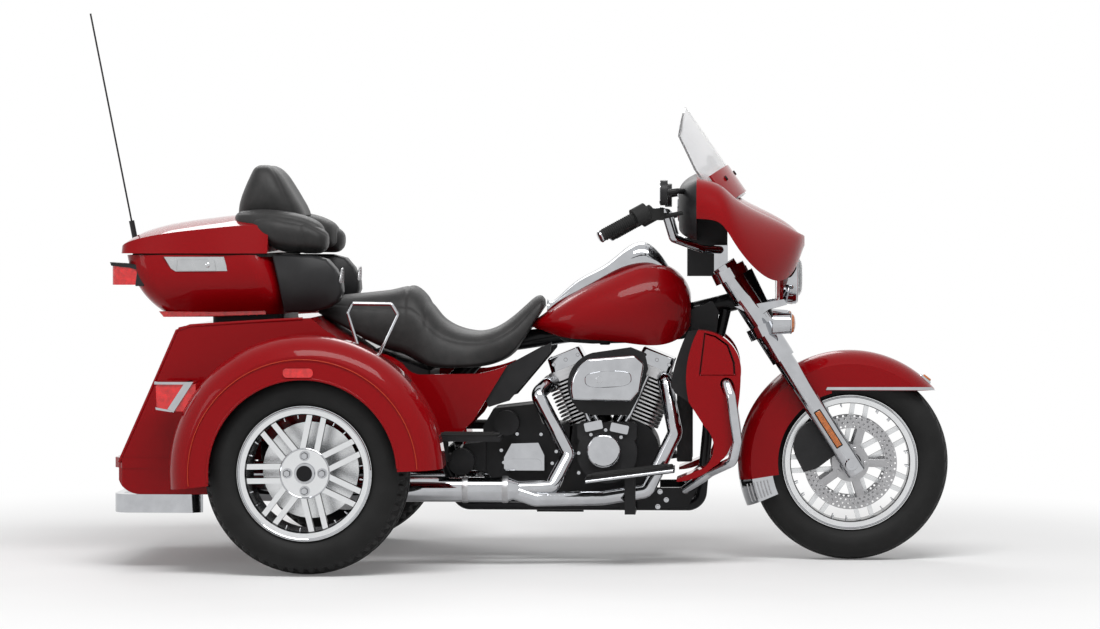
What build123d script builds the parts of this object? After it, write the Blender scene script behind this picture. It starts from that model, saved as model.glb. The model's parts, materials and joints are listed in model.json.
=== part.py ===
"""Full-dress touring trike: one steered front wheel, two driven rear wheels and a V-twin engine.

Millimetres. +X is forward, +Y the rider's left, +Z up. The origin is on the ground, in the middle of
the bounding box. Chassis places are given ahead of the rear axle, front-end places ahead of the front axle.
"""

import os
from math import cos, radians, sin, tan

from build123d import *

os.makedirs("parts", exist_ok=True)

# Driving dimensions
overall_length = 2840.0  # whip antenna's tip to front tyre
wheelbase = 1690.0
overall_width = 1390.0  # over the rear fenders
front_tyre_r = 316.0
front_tyre_w = 130.0
rear_tyre_r = 318.0
rear_tyre_w = 205.0
rear_track = 1114.0
rake = 26.0  # steering axis, degrees from vertical
trail = 100.0
fork_angle = 32.7  # fork legs, degrees from vertical
fork_spacing = 250.0  # between the legs' centre lines
wall = 6.0  # moulded panels
seat_gap = 0.3  # between pieces of different bodies that bear on each other
run_gap = 0.05  # radial clearance of a shaft in its bore

xf = overall_length / 2 - front_tyre_r  # front axle
xr = xf - wheelbase  # rear axle
zf = front_tyre_r
zr = rear_tyre_r
rear_wheel_y = rear_track / 2

# Steering axis, on the centre plane
axis_ground_x = xf + trail


def axis_x(z):
    """X of the steering axis at height z."""
    return axis_ground_x - z * tan(radians(rake))


def fork_x(z):
    """X of the fork legs' centre lines at height z."""
    return xf - (z - zf) * tan(radians(fork_angle))


def save(part, node):
    """Labels a finished piece and writes it as its own STEP file."""
    part.label = node
    export_step(part, f"parts/{node}.step")


def left_of(part):
    """The left-hand twin of a right-hand piece."""
    return mirror(part, about=Plane.XZ)


def pair(part):
    """A right-hand piece and its left-hand twin, as one node."""
    return Part(children=[Part(part.wrapped), Part(left_of(part).wrapped)])


def bulged(x, half_low, z_low, half_mid, z_mid, half_top, z_top, crown):
    """Cross-section at x: flat underside, one arc up each flank, a crowned top."""
    with BuildSketch(Plane.YZ.offset(x)) as sketch:
        with BuildLine():
            Line((-half_low, z_low), (half_low, z_low))
            ThreePointArc((half_low, z_low), (half_mid, z_mid), (half_top, z_top))
            ThreePointArc((half_top, z_top), (0, z_top + crown), (-half_top, z_top))
            ThreePointArc((-half_top, z_top), (-half_mid, z_mid), (-half_low, z_low))
        make_face()
    return sketch.sketch


def shouldered(x, half_low, z_low, half_shoulder, z_shoulder, z_top):
    """Cross-section at x: flat underside, straight flanks to a shoulder crease, an arched top."""
    with BuildSketch(Plane.YZ.offset(x)) as sketch:
        with BuildLine():
            Line((-half_low, z_low), (half_low, z_low))
            Line((half_low, z_low), (half_shoulder, z_shoulder))
            ThreePointArc((half_shoulder, z_shoulder), (0, z_top), (-half_shoulder, z_shoulder))
            Line((-half_shoulder, z_shoulder), (-half_low, z_low))
        make_face()
    return sketch.sketch


def loft_rows(section, rows, x0):
    """Lofts a table of cross-sections, whose x values count from x0."""
    return loft(sections=[section(x0 + row[0], *row[1:]) for row in rows])


def axle_plane(x, z, angle):
    """Plane through an axle: local x along the axle, local y outward at an angle above forward."""
    a = radians(angle)
    return Plane(origin=(x, 0, z), x_dir=(0, 1, 0), z_dir=(sin(a), 0, -cos(a)))


def tube(points, radius, bend):
    """A bent round bar or pipe along a chain of points."""
    with BuildPart() as bar:
        with BuildLine() as path:
            FilletPolyline(*points, radius=bend)
        with BuildSketch(Plane(origin=path.line @ 0, z_dir=path.line % 0)):
            Circle(radius)
        sweep()
    return bar.part


def slab(rows, y_near, y_far):
    """A flat piece of the right side: an X-Z outline between two distances right of the centre plane.

    A row of the outline is the end of a straight (x, z), or the middle and end of an arc (x, z, x, z).
    """
    with BuildPart() as piece:
        with BuildSketch(Plane.XZ.offset(y_near)):
            with BuildLine():
                start = rows[-1][-2:]
                for row in rows:
                    if len(row) == 2:
                        Line(start, row)
                    else:
                        ThreePointArc(start, row[:2], row[2:])
                    start = row[-2:]
            make_face()
        extrude(amount=y_far - y_near)
    return piece.part


def counted_from(x0, rows):
    """Outline rows whose x values count from x0, moved to their place."""
    return [tuple(value if i % 2 else value + x0 for i, value in enumerate(row)) for row in rows]


def at_rear(rows):
    """Outline rows given ahead of the rear axle."""
    return counted_from(xr, rows)


def at_front(rows):
    """Outline rows given ahead of the front axle."""
    return counted_from(xf, rows)


def wheel_tyre(x, y, z, r, width, bead_half, r_seat, r_lip):
    """A tyre's section, turned about its axle."""
    shoulder_half = 0.40 * width
    r_shoulder = r - 0.10 * width
    with BuildPart() as tyre:
        with BuildSketch(Plane.YZ.offset(x)):
            with BuildLine():
                Line((y - bead_half, z + r_seat), (y + bead_half, z + r_seat))
                Line((y + bead_half, z + r_seat), (y + bead_half, z + r_lip + 1))
                ThreePointArc(
                    (y + bead_half, z + r_lip + 1),
                    (y + width / 2, z + (r_lip + r_shoulder) / 2),
                    (y + shoulder_half, z + r_shoulder),
                )
                ThreePointArc(
                    (y + shoulder_half, z + r_shoulder), (y, z + r), (y - shoulder_half, z + r_shoulder)
                )
                ThreePointArc(
                    (y - shoulder_half, z + r_shoulder),
                    (y - width / 2, z + (r_lip + r_shoulder) / 2),
                    (y - bead_half, z + r_lip + 1),
                )
                Line((y - bead_half, z + r_lip + 1), (y - bead_half, z + r_seat))
            make_face()
        revolve(axis=Axis((x, 0, z), (0, 1, 0)))
    return tyre.part


def wheel_barrel(x, y, z, bead_half, r_seat, r_lip):
    """A rim's barrel with its two lips."""
    lip = bead_half + 7
    with BuildPart() as barrel:
        with BuildSketch(Plane.YZ.offset(x)):
            with BuildLine():
                Polyline(
                    (y - lip, z + r_lip),
                    (y - bead_half, z + r_lip),
                    (y - bead_half, z + r_seat),
                    (y + bead_half, z + r_seat),
                    (y + bead_half, z + r_lip),
                    (y + lip, z + r_lip),
                    (y + lip, z + r_lip - lip_depth),
                    (y + bead_half - 6, z + r_seat - 10),
                    (y - bead_half + 6, z + r_seat - 10),
                    (y - lip, z + r_lip - lip_depth),
                    close=True,
                )
            make_face()
        revolve(axis=Axis((x, 0, z), (0, 1, 0)))
    return barrel.part


def wheel_spokes(x, y_face, z, r_hub, r_end, spread, spoke_w, thick, first_angle):
    """Hub disc and paired spokes, from a face at y_face inward along +Y."""
    middle = (r_hub + r_end) / 2 - 4
    with BuildPart() as star:
        with BuildSketch(Plane(origin=(x, y_face, z), x_dir=(1, 0, 0), z_dir=(0, -1, 0))):
            Circle(r_hub)
            with PolarLocations(0, spoke_pairs, start_angle=first_angle):
                with Locations((middle, spread / 2), (middle, -spread / 2)):
                    Rectangle(r_end - r_hub + 8, spoke_w)
        extrude(amount=-thick)
    return star.part


# Rear wheels
spoke_pairs = 7
spoke_t = 26.0
spoke_spread = 44.0  # between the two spokes of a pair
lip_depth = 24.0  # the rim's bright outer band
rear_bead_half = 84.0
rear_seat_r = 190.0
rear_lip_r = 208.0
spindle_r = 22.0
hub_inner_y = 430.0  # where the axle's flange ends and the hub begins
spindle_end_y = 598.0
rear_face_y = rear_wheel_y + 76.0  # outer face of the spokes
rear_hub_r = 58.0
rear_hub_disc_r = 78.0
rear_cap_r = 30.0
rear_disc_r = 150.0
rear_disc_y = 476.0
rear_disc_t = 7.0

for side, s in (("right", -1), ("left", 1)):
    y = s * rear_wheel_y
    save(
        wheel_tyre(xr, y, zr, rear_tyre_r, rear_tyre_w, rear_bead_half, rear_seat_r, rear_lip_r),
        f"rear_tyre_{side}",
    )
    with BuildPart() as rear_rim:
        add(wheel_barrel(xr, -rear_wheel_y, zr, rear_bead_half, rear_seat_r, rear_lip_r))
        add(
            wheel_spokes(
                xr, -rear_face_y, zr, rear_hub_disc_r, rear_seat_r - 6, spoke_spread, 17, spoke_t, 78
            )
        )
        for near, far, radius in (
            (hub_inner_y + seat_gap, rear_face_y, rear_hub_r),
            (rear_face_y, rear_face_y + 10, rear_cap_r),
            (rear_disc_y, rear_disc_y + rear_disc_t, rear_disc_r),
        ):
            with BuildSketch(Plane.XZ.offset(near)):
                with Locations((xr, zr)):
                    Circle(radius)
            extrude(amount=far - near)
        with BuildSketch(Plane.XZ.offset(hub_inner_y)):
            with Locations((xr, zr)):
                Circle(spindle_r + run_gap)
        extrude(amount=spindle_end_y + 2 - hub_inner_y, mode=Mode.SUBTRACT)
    save(rear_rim.part if s < 0 else left_of(rear_rim.part), f"rear_rim_{side}")

# Front wheel
front_bead_half = 45.0
front_seat_r = 200.0
front_lip_r = 217.0
front_axle_r = 12.5
front_axle_bore_r = 9.0
hub_half = 73.0
disc_r = 149.0
disc_t = 5.0

save(
    wheel_tyre(xf, 0, zf, front_tyre_r, front_tyre_w, front_bead_half, front_seat_r, front_lip_r),
    "front_tyre",
)
with BuildPart() as front_rim:
    add(wheel_barrel(xf, 0, zf, front_bead_half, front_seat_r, front_lip_r))
    add(wheel_spokes(xf, -spoke_t / 2, zf, 50, front_seat_r - 6, spoke_spread, 15, spoke_t, 80))
    with BuildSketch(Plane.XZ.offset(-hub_half)):
        with Locations((xf, zf)):
            Circle(46)
    extrude(amount=2 * hub_half)
    with BuildSketch(Plane.XZ.offset(-hub_half)):
        with Locations((xf, zf)):
            Circle(front_axle_r + run_gap)
    extrude(amount=2 * hub_half, mode=Mode.SUBTRACT)
save(front_rim.part, "front_rim")

with BuildPart() as front_disc:
    with BuildSketch(Plane.XZ.offset(hub_half)):
        with Locations((xf, zf)):
            Circle(disc_r)
            Circle(112, mode=Mode.SUBTRACT)
            Circle(60)
            Circle(34, mode=Mode.SUBTRACT)
            with PolarLocations(86, 5):
                Rectangle(60, 30)
    extrude(amount=disc_t)
save(pair(front_disc.part), "front_discs")

# Front axle, fork and yokes
fork_y = fork_spacing / 2
slider_r = 31.0
cover_r = 39.0
slider_len = 400.0
fork_len = 755.0
stem_r = 25.0
neck_r = 38.0
yoke_t = 36.0
yoke_low_z = 752.0
yoke_top_z = 940.0

with BuildPart() as front_axle:
    with BuildSketch(Plane.XZ.offset(-158)):
        with Locations((xf, zf)):
            Circle(front_axle_r)
    extrude(amount=316)
    with BuildSketch(Plane.XZ.offset(-158)):
        with Locations((xf, zf)):
            Circle(front_axle_bore_r)
    extrude(amount=316, mode=Mode.SUBTRACT)
save(front_axle.part, "front_axle")

fork_dir = (-sin(radians(fork_angle)), 0, cos(radians(fork_angle)))
fork_plane = Plane(origin=(xf, -fork_y, zf), x_dir=(0, 1, 0), z_dir=fork_dir)
with BuildPart() as fork_leg:
    with BuildSketch(fork_plane.offset(-34)):
        Circle(slider_r)
    extrude(amount=slider_len + 34)
    with BuildSketch(fork_plane.offset(slider_len)):
        Circle(cover_r)
    extrude(amount=fork_len - slider_len)
    with BuildSketch(Plane.XZ.offset(fork_y - 50)):
        with Locations((xf, zf)):
            Circle(front_axle_r + run_gap)
    extrude(amount=100, mode=Mode.SUBTRACT)
fork_legs = pair(fork_leg.part)
save(fork_legs, "fork_legs")

steer_dir = (-sin(radians(rake)), 0, cos(radians(rake)))


def steer_plane(z):
    """Plane square to the steering axis, where the axis is at height z. Local x is across, to the left."""
    return Plane(origin=(axis_x(z), 0, z), x_dir=(0, 1, 0), z_dir=steer_dir)


neck_len = (yoke_top_z - yoke_low_z) / cos(radians(rake)) - yoke_t
with BuildPart() as fork_yokes:
    for z in (yoke_low_z, yoke_top_z):
        with BuildSketch(steer_plane(z).offset(-yoke_t / 2)):
            with Locations((0, 0.8 * (axis_x(z) - fork_x(z)))):
                SlotOverall(fork_spacing + 2 * cover_r + 24, 2 * cover_r + 34)
        extrude(amount=yoke_t)
    with BuildSketch(steer_plane(yoke_low_z)):
        Circle(stem_r)
    extrude(amount=neck_len + yoke_t)
    add(fork_leg.part, mode=Mode.SUBTRACT)
    add(left_of(fork_leg.part), mode=Mode.SUBTRACT)
save(fork_yokes.part, "fork_yokes")

# Front fender with its lit tail piece
fender_r = 361.0
fender_half = 85.0
fender_t = 5.0
skirt_r = 232.0
fender_tip_deg = 41.0
fender_tail_deg = 189.5
tail_piece_deg = 203.5
fender_front_z = 549.0


def fender_section(plane, half, r_side, r_crown, r_low):
    """Inverted U about the front wheel, from its lower edge r_low to its crown."""
    with BuildSketch(plane) as sketch:
        with BuildLine():
            Line((-half, r_low), (half, r_low))
            Line((half, r_low), (half, r_side))
            ThreePointArc((half, r_side), (0, r_crown), (-half, r_side))
            Line((-half, r_side), (-half, r_low))
        make_face()
    return sketch.sketch


front_axis = Axis((xf, 0, zf), (0, 1, 0))
tail_plane = axle_plane(xf, zf, fender_tail_deg)
fender_arc = fender_tail_deg - fender_tip_deg
with BuildPart() as front_fender:
    revolve(
        fender_section(tail_plane, fender_half, fender_r - 42, fender_r, skirt_r),
        axis=front_axis,
        revolution_arc=fender_arc,
    )
    revolve(
        fender_section(tail_plane, fender_half - fender_t, fender_r - 45, fender_r - fender_t, skirt_r - 60),
        axis=front_axis,
        revolution_arc=fender_arc,
        mode=Mode.SUBTRACT,
    )
    with Locations((xf + 170, 0, fender_front_z - 150)):
        Box(460, 300, 300, mode=Mode.SUBTRACT)
    with BuildSketch(Plane.XZ.offset(fender_half - fender_t)):
        with Locations((fork_x(zf + 214), zf + 214), (fork_x(zf + 262), zf + 262)):
            Circle(15)
    extrude(amount=20)
    with BuildSketch(Plane.XZ.offset(-fender_half + fender_t)):
        with Locations((fork_x(zf + 214), zf + 214), (fork_x(zf + 262), zf + 262)):
            Circle(15)
    extrude(amount=-20)
    add(fork_leg.part, mode=Mode.SUBTRACT)
    add(left_of(fork_leg.part), mode=Mode.SUBTRACT)
save(front_fender.part, "front_fender")

piece_plane = axle_plane(xf, zf, tail_piece_deg)
piece_arc = tail_piece_deg - fender_tail_deg
with BuildPart() as fender_tail:
    revolve(
        fender_section(piece_plane, fender_half, fender_r - 42, fender_r, skirt_r + 20),
        axis=front_axis,
        revolution_arc=piece_arc,
    )
    revolve(
        fender_section(piece_plane, fender_half - 8, fender_r - 48, fender_r - 8, skirt_r - 60),
        axis=front_axis,
        revolution_arc=piece_arc,
        mode=Mode.SUBTRACT,
    )
save(fender_tail.part, "fender_tail")

# Front brake calipers, bridging the discs behind the fork legs
caliper_rows = at_front(
    [(-28, 412), (-92, 456), (-166, 420, -172, 330), (-150, 288), (-108, 300), (-20, 366)]
)
with BuildPart() as front_caliper:
    add(slab(caliper_rows, hub_half - 14, fork_y - 18))
    with BuildSketch(Plane.XZ.offset(hub_half - 5)):
        with Locations((xf, zf)):
            Circle(disc_r + 5)
    extrude(amount=disc_t + 10, mode=Mode.SUBTRACT)
    add(fork_leg.part, mode=Mode.SUBTRACT)
save(pair(front_caliper.part), "front_calipers")

# Fork-mounted fairing: columns x, half_low, z_low, half_mid, z_mid, half_top, z_top, crown
fairing_rows = (
    (-492, 330, 1030, 412, 1135, 300, 1226, 26),
    (-410, 290, 985, 396, 1110, 250, 1192, 22),
    (-330, 150, 866, 345, 1050, 190, 1138, 18),
    (-240, 62, 850, 254, 992, 115, 1096, 14),
    (-175, 72, 938, 152, 1002, 68, 1056, 8),
    (-148, 40, 1012, 62, 1026, 30, 1036, 3),
)
headlamp_z = 912.0
headlamp_r = 70.0
lamp_ring_r = 84.0
headlamp_depth = 84.0
headlamp_front = -154.0  # ahead of the front axle

with BuildPart() as fairing_body:
    loft_rows(bulged, fairing_rows, xf)
hollow_rows = [
    (x - wall, low - wall, z_low - 40, mid - wall, z_mid, max(top - wall, 12), z_top - wall, crown)
    for x, low, z_low, mid, z_mid, top, z_top, crown in fairing_rows
]
with BuildPart() as fairing_hollow:
    loft_rows(bulged, hollow_rows, xf)
with BuildPart() as lamp_bulkhead:
    add(fairing_body.part)
    with Locations((xf + headlamp_front - headlamp_depth + 4, 0, headlamp_z)):
        Box(10, 900, 700, mode=Mode.INTERSECT)
with BuildPart() as fairing_shell:
    add(fairing_body.part)
    add(fairing_hollow.part, mode=Mode.SUBTRACT)
    add(lamp_bulkhead.part)
    with BuildSketch(Plane.YZ.offset(xf + headlamp_front - headlamp_depth)):
        with Locations((0, headlamp_z)):
            Circle(lamp_ring_r)
    extrude(amount=headlamp_depth - 16)
    with BuildSketch(Plane.YZ.offset(xf + headlamp_front - 160)):
        with Locations((0, headlamp_z)):
            Circle(headlamp_r + 0.5)
    extrude(amount=300, mode=Mode.SUBTRACT)
save(fairing_shell.part, "fairing_shell")

# Handlebar: places ahead of the front axle, right of centre, height
bar_r = 12.7
bar_points = (
    (-779, 452, 1049),
    (-668, 412, 1110),
    (-592, 388, 1126),
    (-566, 332, 1038),
    (-478, 190, 1004),
    (-420, 80, 1000),
)
bar_right = [(xf + x, -y, z) for x, y, z in bar_points]
bar_left = [(xf + x, y, z) for x, y, z in reversed(bar_points)]
bar_centre_x = xf + bar_points[-1][0]
bar_centre_z = bar_points[-1][2]
with BuildPart() as handlebar:
    add(tube(bar_right + bar_left, bar_r, 22))
    for s in (-1, 1):
        with Locations((bar_centre_x + 4, s * 48, bar_centre_z - 30)):
            Box(44, 30, 90)
    add(fork_yokes.part, mode=Mode.SUBTRACT)
    add(fork_leg.part, mode=Mode.SUBTRACT)
    add(left_of(fork_leg.part), mode=Mode.SUBTRACT)
save(handlebar.part, "handlebar")

# Inner fairing facing the rider: same columns
inner_rows = (
    (-492, 326, 1032, 409, 1135, 296, 1223, 25),
    (-530, 300, 1046, 372, 1135, 268, 1204, 22),
    (-548, 262, 1066, 322, 1132, 236, 1184, 18),
)
with BuildPart() as fairing_inner:
    loft_rows(bulged, inner_rows, xf)
    with Locations((xf - 460, 0, 1020)):
        Box(130, 56, 210)
    add(fairing_shell.part, mode=Mode.SUBTRACT)
    add(fork_yokes.part, mode=Mode.SUBTRACT)
    add(handlebar.part, mode=Mode.SUBTRACT)
save(fairing_inner.part, "fairing_inner")

# Windshield: a bent sheet leaning back, cut to a rounded front-view outline
screen_base = (-423.0, 1255.0)  # front face at the centre, ahead of the front axle, and height
screen_top = (-565.0, 1460.0)
screen_bend_r = 503.0
screen_half = 285.0
screen_t = 5.0
screen_tuck = 110.0  # how far the sheet runs down to the fairing's skin

lean_x = screen_top[0] - screen_base[0]
lean_z = screen_top[1] - screen_base[1]
lean_len = (lean_x**2 + lean_z**2) ** 0.5
screen_plane = Plane(
    origin=(xf + screen_base[0], 0, screen_base[1]), x_dir=(0, 1, 0), z_dir=(lean_x, 0, lean_z)
)
with BuildPart() as windshield:
    with BuildSketch(screen_plane.offset(-screen_tuck)):
        with Locations((0, screen_bend_r * 0.94)):
            Circle(screen_bend_r)
            Circle(screen_bend_r - screen_t, mode=Mode.SUBTRACT)
        with Locations((0, 2 * screen_bend_r)):
            Rectangle(4 * screen_bend_r, 3.3 * screen_bend_r, mode=Mode.SUBTRACT)
    extrude(amount=lean_len + screen_tuck)
    with BuildSketch(Plane.YZ.offset(xf - 800)):
        with BuildLine():
            Polyline(
                (-screen_half, screen_base[1] - screen_tuck),
                (screen_half, screen_base[1] - screen_tuck),
                (screen_half, screen_base[1]),
                (screen_half * 0.9, screen_top[1] - 100),
            )
            ThreePointArc(
                (screen_half * 0.9, screen_top[1] - 100),
                (0, screen_top[1]),
                (-screen_half * 0.9, screen_top[1] - 100),
            )
            Polyline(
                (-screen_half * 0.9, screen_top[1] - 100),
                (-screen_half, screen_base[1]),
                (-screen_half, screen_base[1] - screen_tuck),
            )
        make_face()
    extrude(amount=600, mode=Mode.INTERSECT)
    add(fairing_body.part, mode=Mode.SUBTRACT)
    add(fairing_inner.part, mode=Mode.SUBTRACT)
save(windshield.part, "windshield")

# Headlamp and the signal bar under the fairing
with BuildPart() as headlamp:
    with BuildSketch(Plane.YZ.offset(xf + headlamp_front - headlamp_depth)):
        with Locations((0, headlamp_z)):
            Circle(headlamp_r)
    extrude(amount=headlamp_depth)
    fillet(headlamp.edges().sort_by(Axis.X)[-1], radius=34)
save(headlamp.part, "headlamp")

signal_x = -222.0
signal_y = 205.0
signal_z = 768.0
signal_r = 36.0
with BuildPart() as signal_bar:
    with BuildSketch(Plane.XZ.offset(-signal_y)):
        with Locations((xf + signal_x, signal_z)):
            Circle(13)
    extrude(amount=2 * signal_y)
    for s in (-1, 1):
        with BuildSketch(Plane.YZ.offset(xf + signal_x - 30)):
            with Locations((s * signal_y, signal_z)):
                Circle(signal_r)
        extrude(amount=58, taper=4)
    add(fork_leg.part, mode=Mode.SUBTRACT)
    add(left_of(fork_leg.part), mode=Mode.SUBTRACT)
    add(fork_yokes.part, mode=Mode.SUBTRACT)
save(signal_bar.part, "signal_bar")

grip_r = 18.0
lever_r = 7.0
with BuildPart() as hand_control:
    with BuildLine() as grip_path:
        Line(bar_right[0], bar_right[1])
    grip_plane = Plane(origin=grip_path.line @ 0, z_dir=grip_path.line % 0)
    with BuildSketch(grip_plane.offset(-14)):
        Circle(grip_r)
    extrude(amount=126)
    with BuildSketch(grip_plane.offset(112)):
        Circle(grip_r + 12)
    extrude(amount=46)
    add(tube([(x + 56, y + 4, z - 8) for x, y, z in bar_right[:3]], lever_r, 20))
    with Locations((bar_right[1][0] + 40, bar_right[1][1] + 6, bar_right[1][2] + 4)):
        Box(70, 30, 36)
    add(handlebar.part, mode=Mode.SUBTRACT)
save(pair(hand_control.part), "hand_controls")

# Mirrors on stalks from the inner fairing
mirror_x = -604.0
mirror_y = 415.0
mirror_z = 1180.0
with BuildPart() as mirror_pod:
    with BuildSketch(Plane.YZ.offset(xf + mirror_x)):
        with Locations((-mirror_y, mirror_z)):
            SlotOverall(124, 78)
    extrude(amount=22)
    add(
        tube(
            [
                (xf + mirror_x + 12, -mirror_y + 30, mirror_z),
                (xf + mirror_x + 50, -mirror_y + 40, mirror_z + 6),
                (xf + mirror_x + 88, -mirror_y + 110, mirror_z + 6),
            ],
            9,
            20,
        )
    )
    add(fairing_inner.part, mode=Mode.SUBTRACT)
save(pair(mirror_pod.part), "mirrors")

# Frame: steering neck and backbone, then the cradle below the engine
rail_y = 150.0
rail_z = 184.0
rail_r = 17.0
spine_r = 30.0
board_plate_t = 14.0  # bracket plate of the rider's footboards
board_plate_y = rail_y + rail_r + 8.0
board_plate_rows = [(952, 241), (952, 169), (1171, 182), (1202, 243)]
left_plate_rows = [(1074, 241), (1074, 176), (1171, 182), (1202, 243)]
neck_plane = steer_plane(yoke_low_z).offset(yoke_t / 2 + seat_gap)
neck_mid_z = (yoke_low_z + yoke_top_z) / 2

with BuildPart() as frame_spine:
    with BuildSketch(neck_plane):
        Circle(neck_r)
    extrude(amount=neck_len - 2 * seat_gap)
    add(
        tube(
            [
                (axis_x(neck_mid_z) - 8, 0, neck_mid_z),
                (xr + 1060, 0, 770),
                (xr + 520, 0, 690),
                (xr + 400, 0, 560),
                (xr + 376, 0, 392),
            ],
            spine_r,
            60,
        )
    )
    with BuildSketch(neck_plane):
        Circle(stem_r + run_gap)
    extrude(amount=neck_len, mode=Mode.SUBTRACT)
save(frame_spine.part, "frame_spine")

with BuildPart() as frame_cradle:
    for s in (-1, 1):
        add(
            tube(
                [
                    (xr + 1290, s * 24, 806),
                    (xr + 1262, s * 34, 690),
                    (xr + 1236, s * 118, 470),
                    (xr + 1210, s * rail_y, rail_z),
                    (xr + 440, s * rail_y, rail_z),
                    (xr + 372, s * rail_y, 378),
                    (xr + 120, s * rail_y, 362),
                    (xr + 6, s * rail_y, 362),
                ],
                rail_r,
                45,
            )
        )
    for x, z, r in ((1150, rail_z, 14), (420, rail_z + 30, 14), (376, 370, 22)):
        with BuildSketch(Plane.XZ.offset(-rail_y)):
            with Locations((xr + x, z)):
                Circle(r)
        extrude(amount=2 * rail_y)
    with Locations((xr + 760, 0, rail_z - 12)):
        Box(150, 2 * rail_y - 2 * rail_r + 8, 24)
    add(slab(at_rear(board_plate_rows), board_plate_y - board_plate_t, board_plate_y))
    add(slab(at_rear(left_plate_rows), -board_plate_y, -board_plate_y + board_plate_t))
    add(frame_spine.part, mode=Mode.SUBTRACT)
save(frame_cradle.part, "frame_cradle")

# Engine: cases, two finned cylinders in a 45 degree V, covers
crank_x = 922.0  # ahead of the rear axle
crank_z = 292.0
case_half = 108.0
bank = 22.5
barrel_r = 62.0
fin_r = 88.0
fin_count = 15
fin_pitch = 12.4
fin_t = 5.0
barrel_start = 170.0  # along a cylinder's axis, from the crank
fin_start = 178.0
head_start = 326.0
head_h = 34.0
rocker_h = 48.0
head_half_x = 70.0
head_half_y = 90.0
rocker_half_x = 60.0
v_gap = 6.0  # between the two cylinders' fins
cam_chest_y = 192.0
pivot_r = 42.0


def bank_plane(sign, along):
    """Plane square to a cylinder's axis. Local x is across the bike, to the left."""
    a = radians(sign * bank)
    return Plane(
        origin=(xr + crank_x + along * sin(a), 0, crank_z + along * cos(a)),
        x_dir=(0, 1, 0),
        z_dir=(sin(a), 0, cos(a)),
    )


crankcase_rows = [(1000, 216), (1064, 236, 1068, 310), (1052, 420, 985, 455), (800, 440), (770, 216)]
gearbox_rows = [
    (780, 216), (790, 440), (702, 440), (677, 505), (543, 489), (510, 432), (510, 300), (560, 236),
]
pivot_rows = [(520, 384), (450, 376), (440, 330, 452, 296), (520, 286)]
# Round bosses of the right side: x, z, radius, outer face right of centre
round_bosses = (
    (crank_x - 10, 352, 96, cam_chest_y),
    (588, 445, 40, case_half + 44),
    (444, 321, pivot_r, rail_y + rail_r + 11),
)
with BuildPart() as engine_cases:
    add(slab(at_rear(crankcase_rows), -case_half, case_half))
    add(slab(at_rear(gearbox_rows), -case_half, case_half))
    add(slab(at_rear(pivot_rows), -case_half - 18, case_half + 18))
    for sign in (-1, 1):
        with BuildSketch(bank_plane(sign, 100)):
            RectangleRounded(150, 120, 30)
        extrude(amount=barrel_start - 100)
    for x, z, radius, face_y in round_bosses:
        with BuildSketch(Plane.XZ.offset(case_half)):
            with Locations((xr + x, z)):
                Circle(radius)
        extrude(amount=face_y - case_half)
    with BuildSketch(Plane.XZ.offset(case_half)):
        with Locations((xr + crank_x - 10, 420)):
            RectangleRounded(190, 60, 16)
    extrude(amount=cam_chest_y - case_half)
    add(frame_cradle.part, mode=Mode.SUBTRACT)
save(engine_cases.part, "engine_cases")

with BuildPart() as cylinders:
    for sign in (-1, 1):
        with BuildSketch(bank_plane(sign, barrel_start)):
            Circle(barrel_r)
        extrude(amount=head_start - barrel_start)
        for i in range(fin_count):
            with BuildSketch(bank_plane(sign, fin_start + i * fin_pitch)):
                RectangleRounded(2 * fin_r + 8, 2 * fin_r, 46)
            extrude(amount=fin_t)
        with BuildSketch(bank_plane(sign, head_start)):
            RectangleRounded(2 * head_half_y, 2 * head_half_x, 22)
        extrude(amount=head_h)
    with Locations((xr + crank_x, 0, crank_z + fin_start)):
        Box(v_gap, 4 * fin_r, 2 * fin_start, mode=Mode.SUBTRACT)
    add(engine_cases.part, mode=Mode.SUBTRACT)
save(cylinders.part, "cylinders")

with BuildPart() as rocker_covers:
    for sign in (-1, 1):
        with BuildSketch(bank_plane(sign, head_start + head_h)):
            RectangleRounded(2 * head_half_y + 6, 2 * rocker_half_x, 18)
        extrude(amount=rocker_h, taper=6)
    fillet(rocker_covers.faces().sort_by(Axis.Z)[-2:].edges(), radius=6)
save(rocker_covers.part, "rocker_covers")

with BuildPart() as pushrod_tubes:
    for sign in (-1, 1):
        for shift in (0, 26):
            foot = Vector(xr + crank_x - 10 + sign * (34 + shift), -122, 450)
            head = bank_plane(sign, head_start).origin
            top = Vector(head.X + sign * (shift - 34), -122, head.Z + 4)
            with BuildSketch(Plane(origin=foot, z_dir=top - foot)):
                Circle(9)
            extrude(amount=(top - foot).length)
    add(engine_cases.part, mode=Mode.SUBTRACT)
    add(cylinders.part, mode=Mode.SUBTRACT)
save(pushrod_tubes.part, "pushrod_tubes")

# Air cleaner on the right, over the middle of the V
breather_y = 158.0
breather_t = 32.0
breather_depth = 72.0
breather_rows = [(804, 524), (814, 616, 856, 656), (1001, 668), (1032, 640), (1017, 552), (989, 520)]
backplate_rows = [
    (806, 510), (794, 610, 866, 672), (987, 690), (1032, 672), (1043, 622), (1015, 536), (982, 474),
    (864, 474), (822, 486),
]
with BuildPart() as air_cleaner_cover:
    add(slab(at_rear(breather_rows), breather_y + breather_t, breather_y + breather_t + breather_depth))
    fillet(air_cleaner_cover.edges().filter_by(Axis.Y), radius=12)
    fillet(air_cleaner_cover.faces().sort_by(Axis.Y)[0].edges(), radius=10)
save(air_cleaner_cover.part, "air_cleaner_cover")

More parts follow.
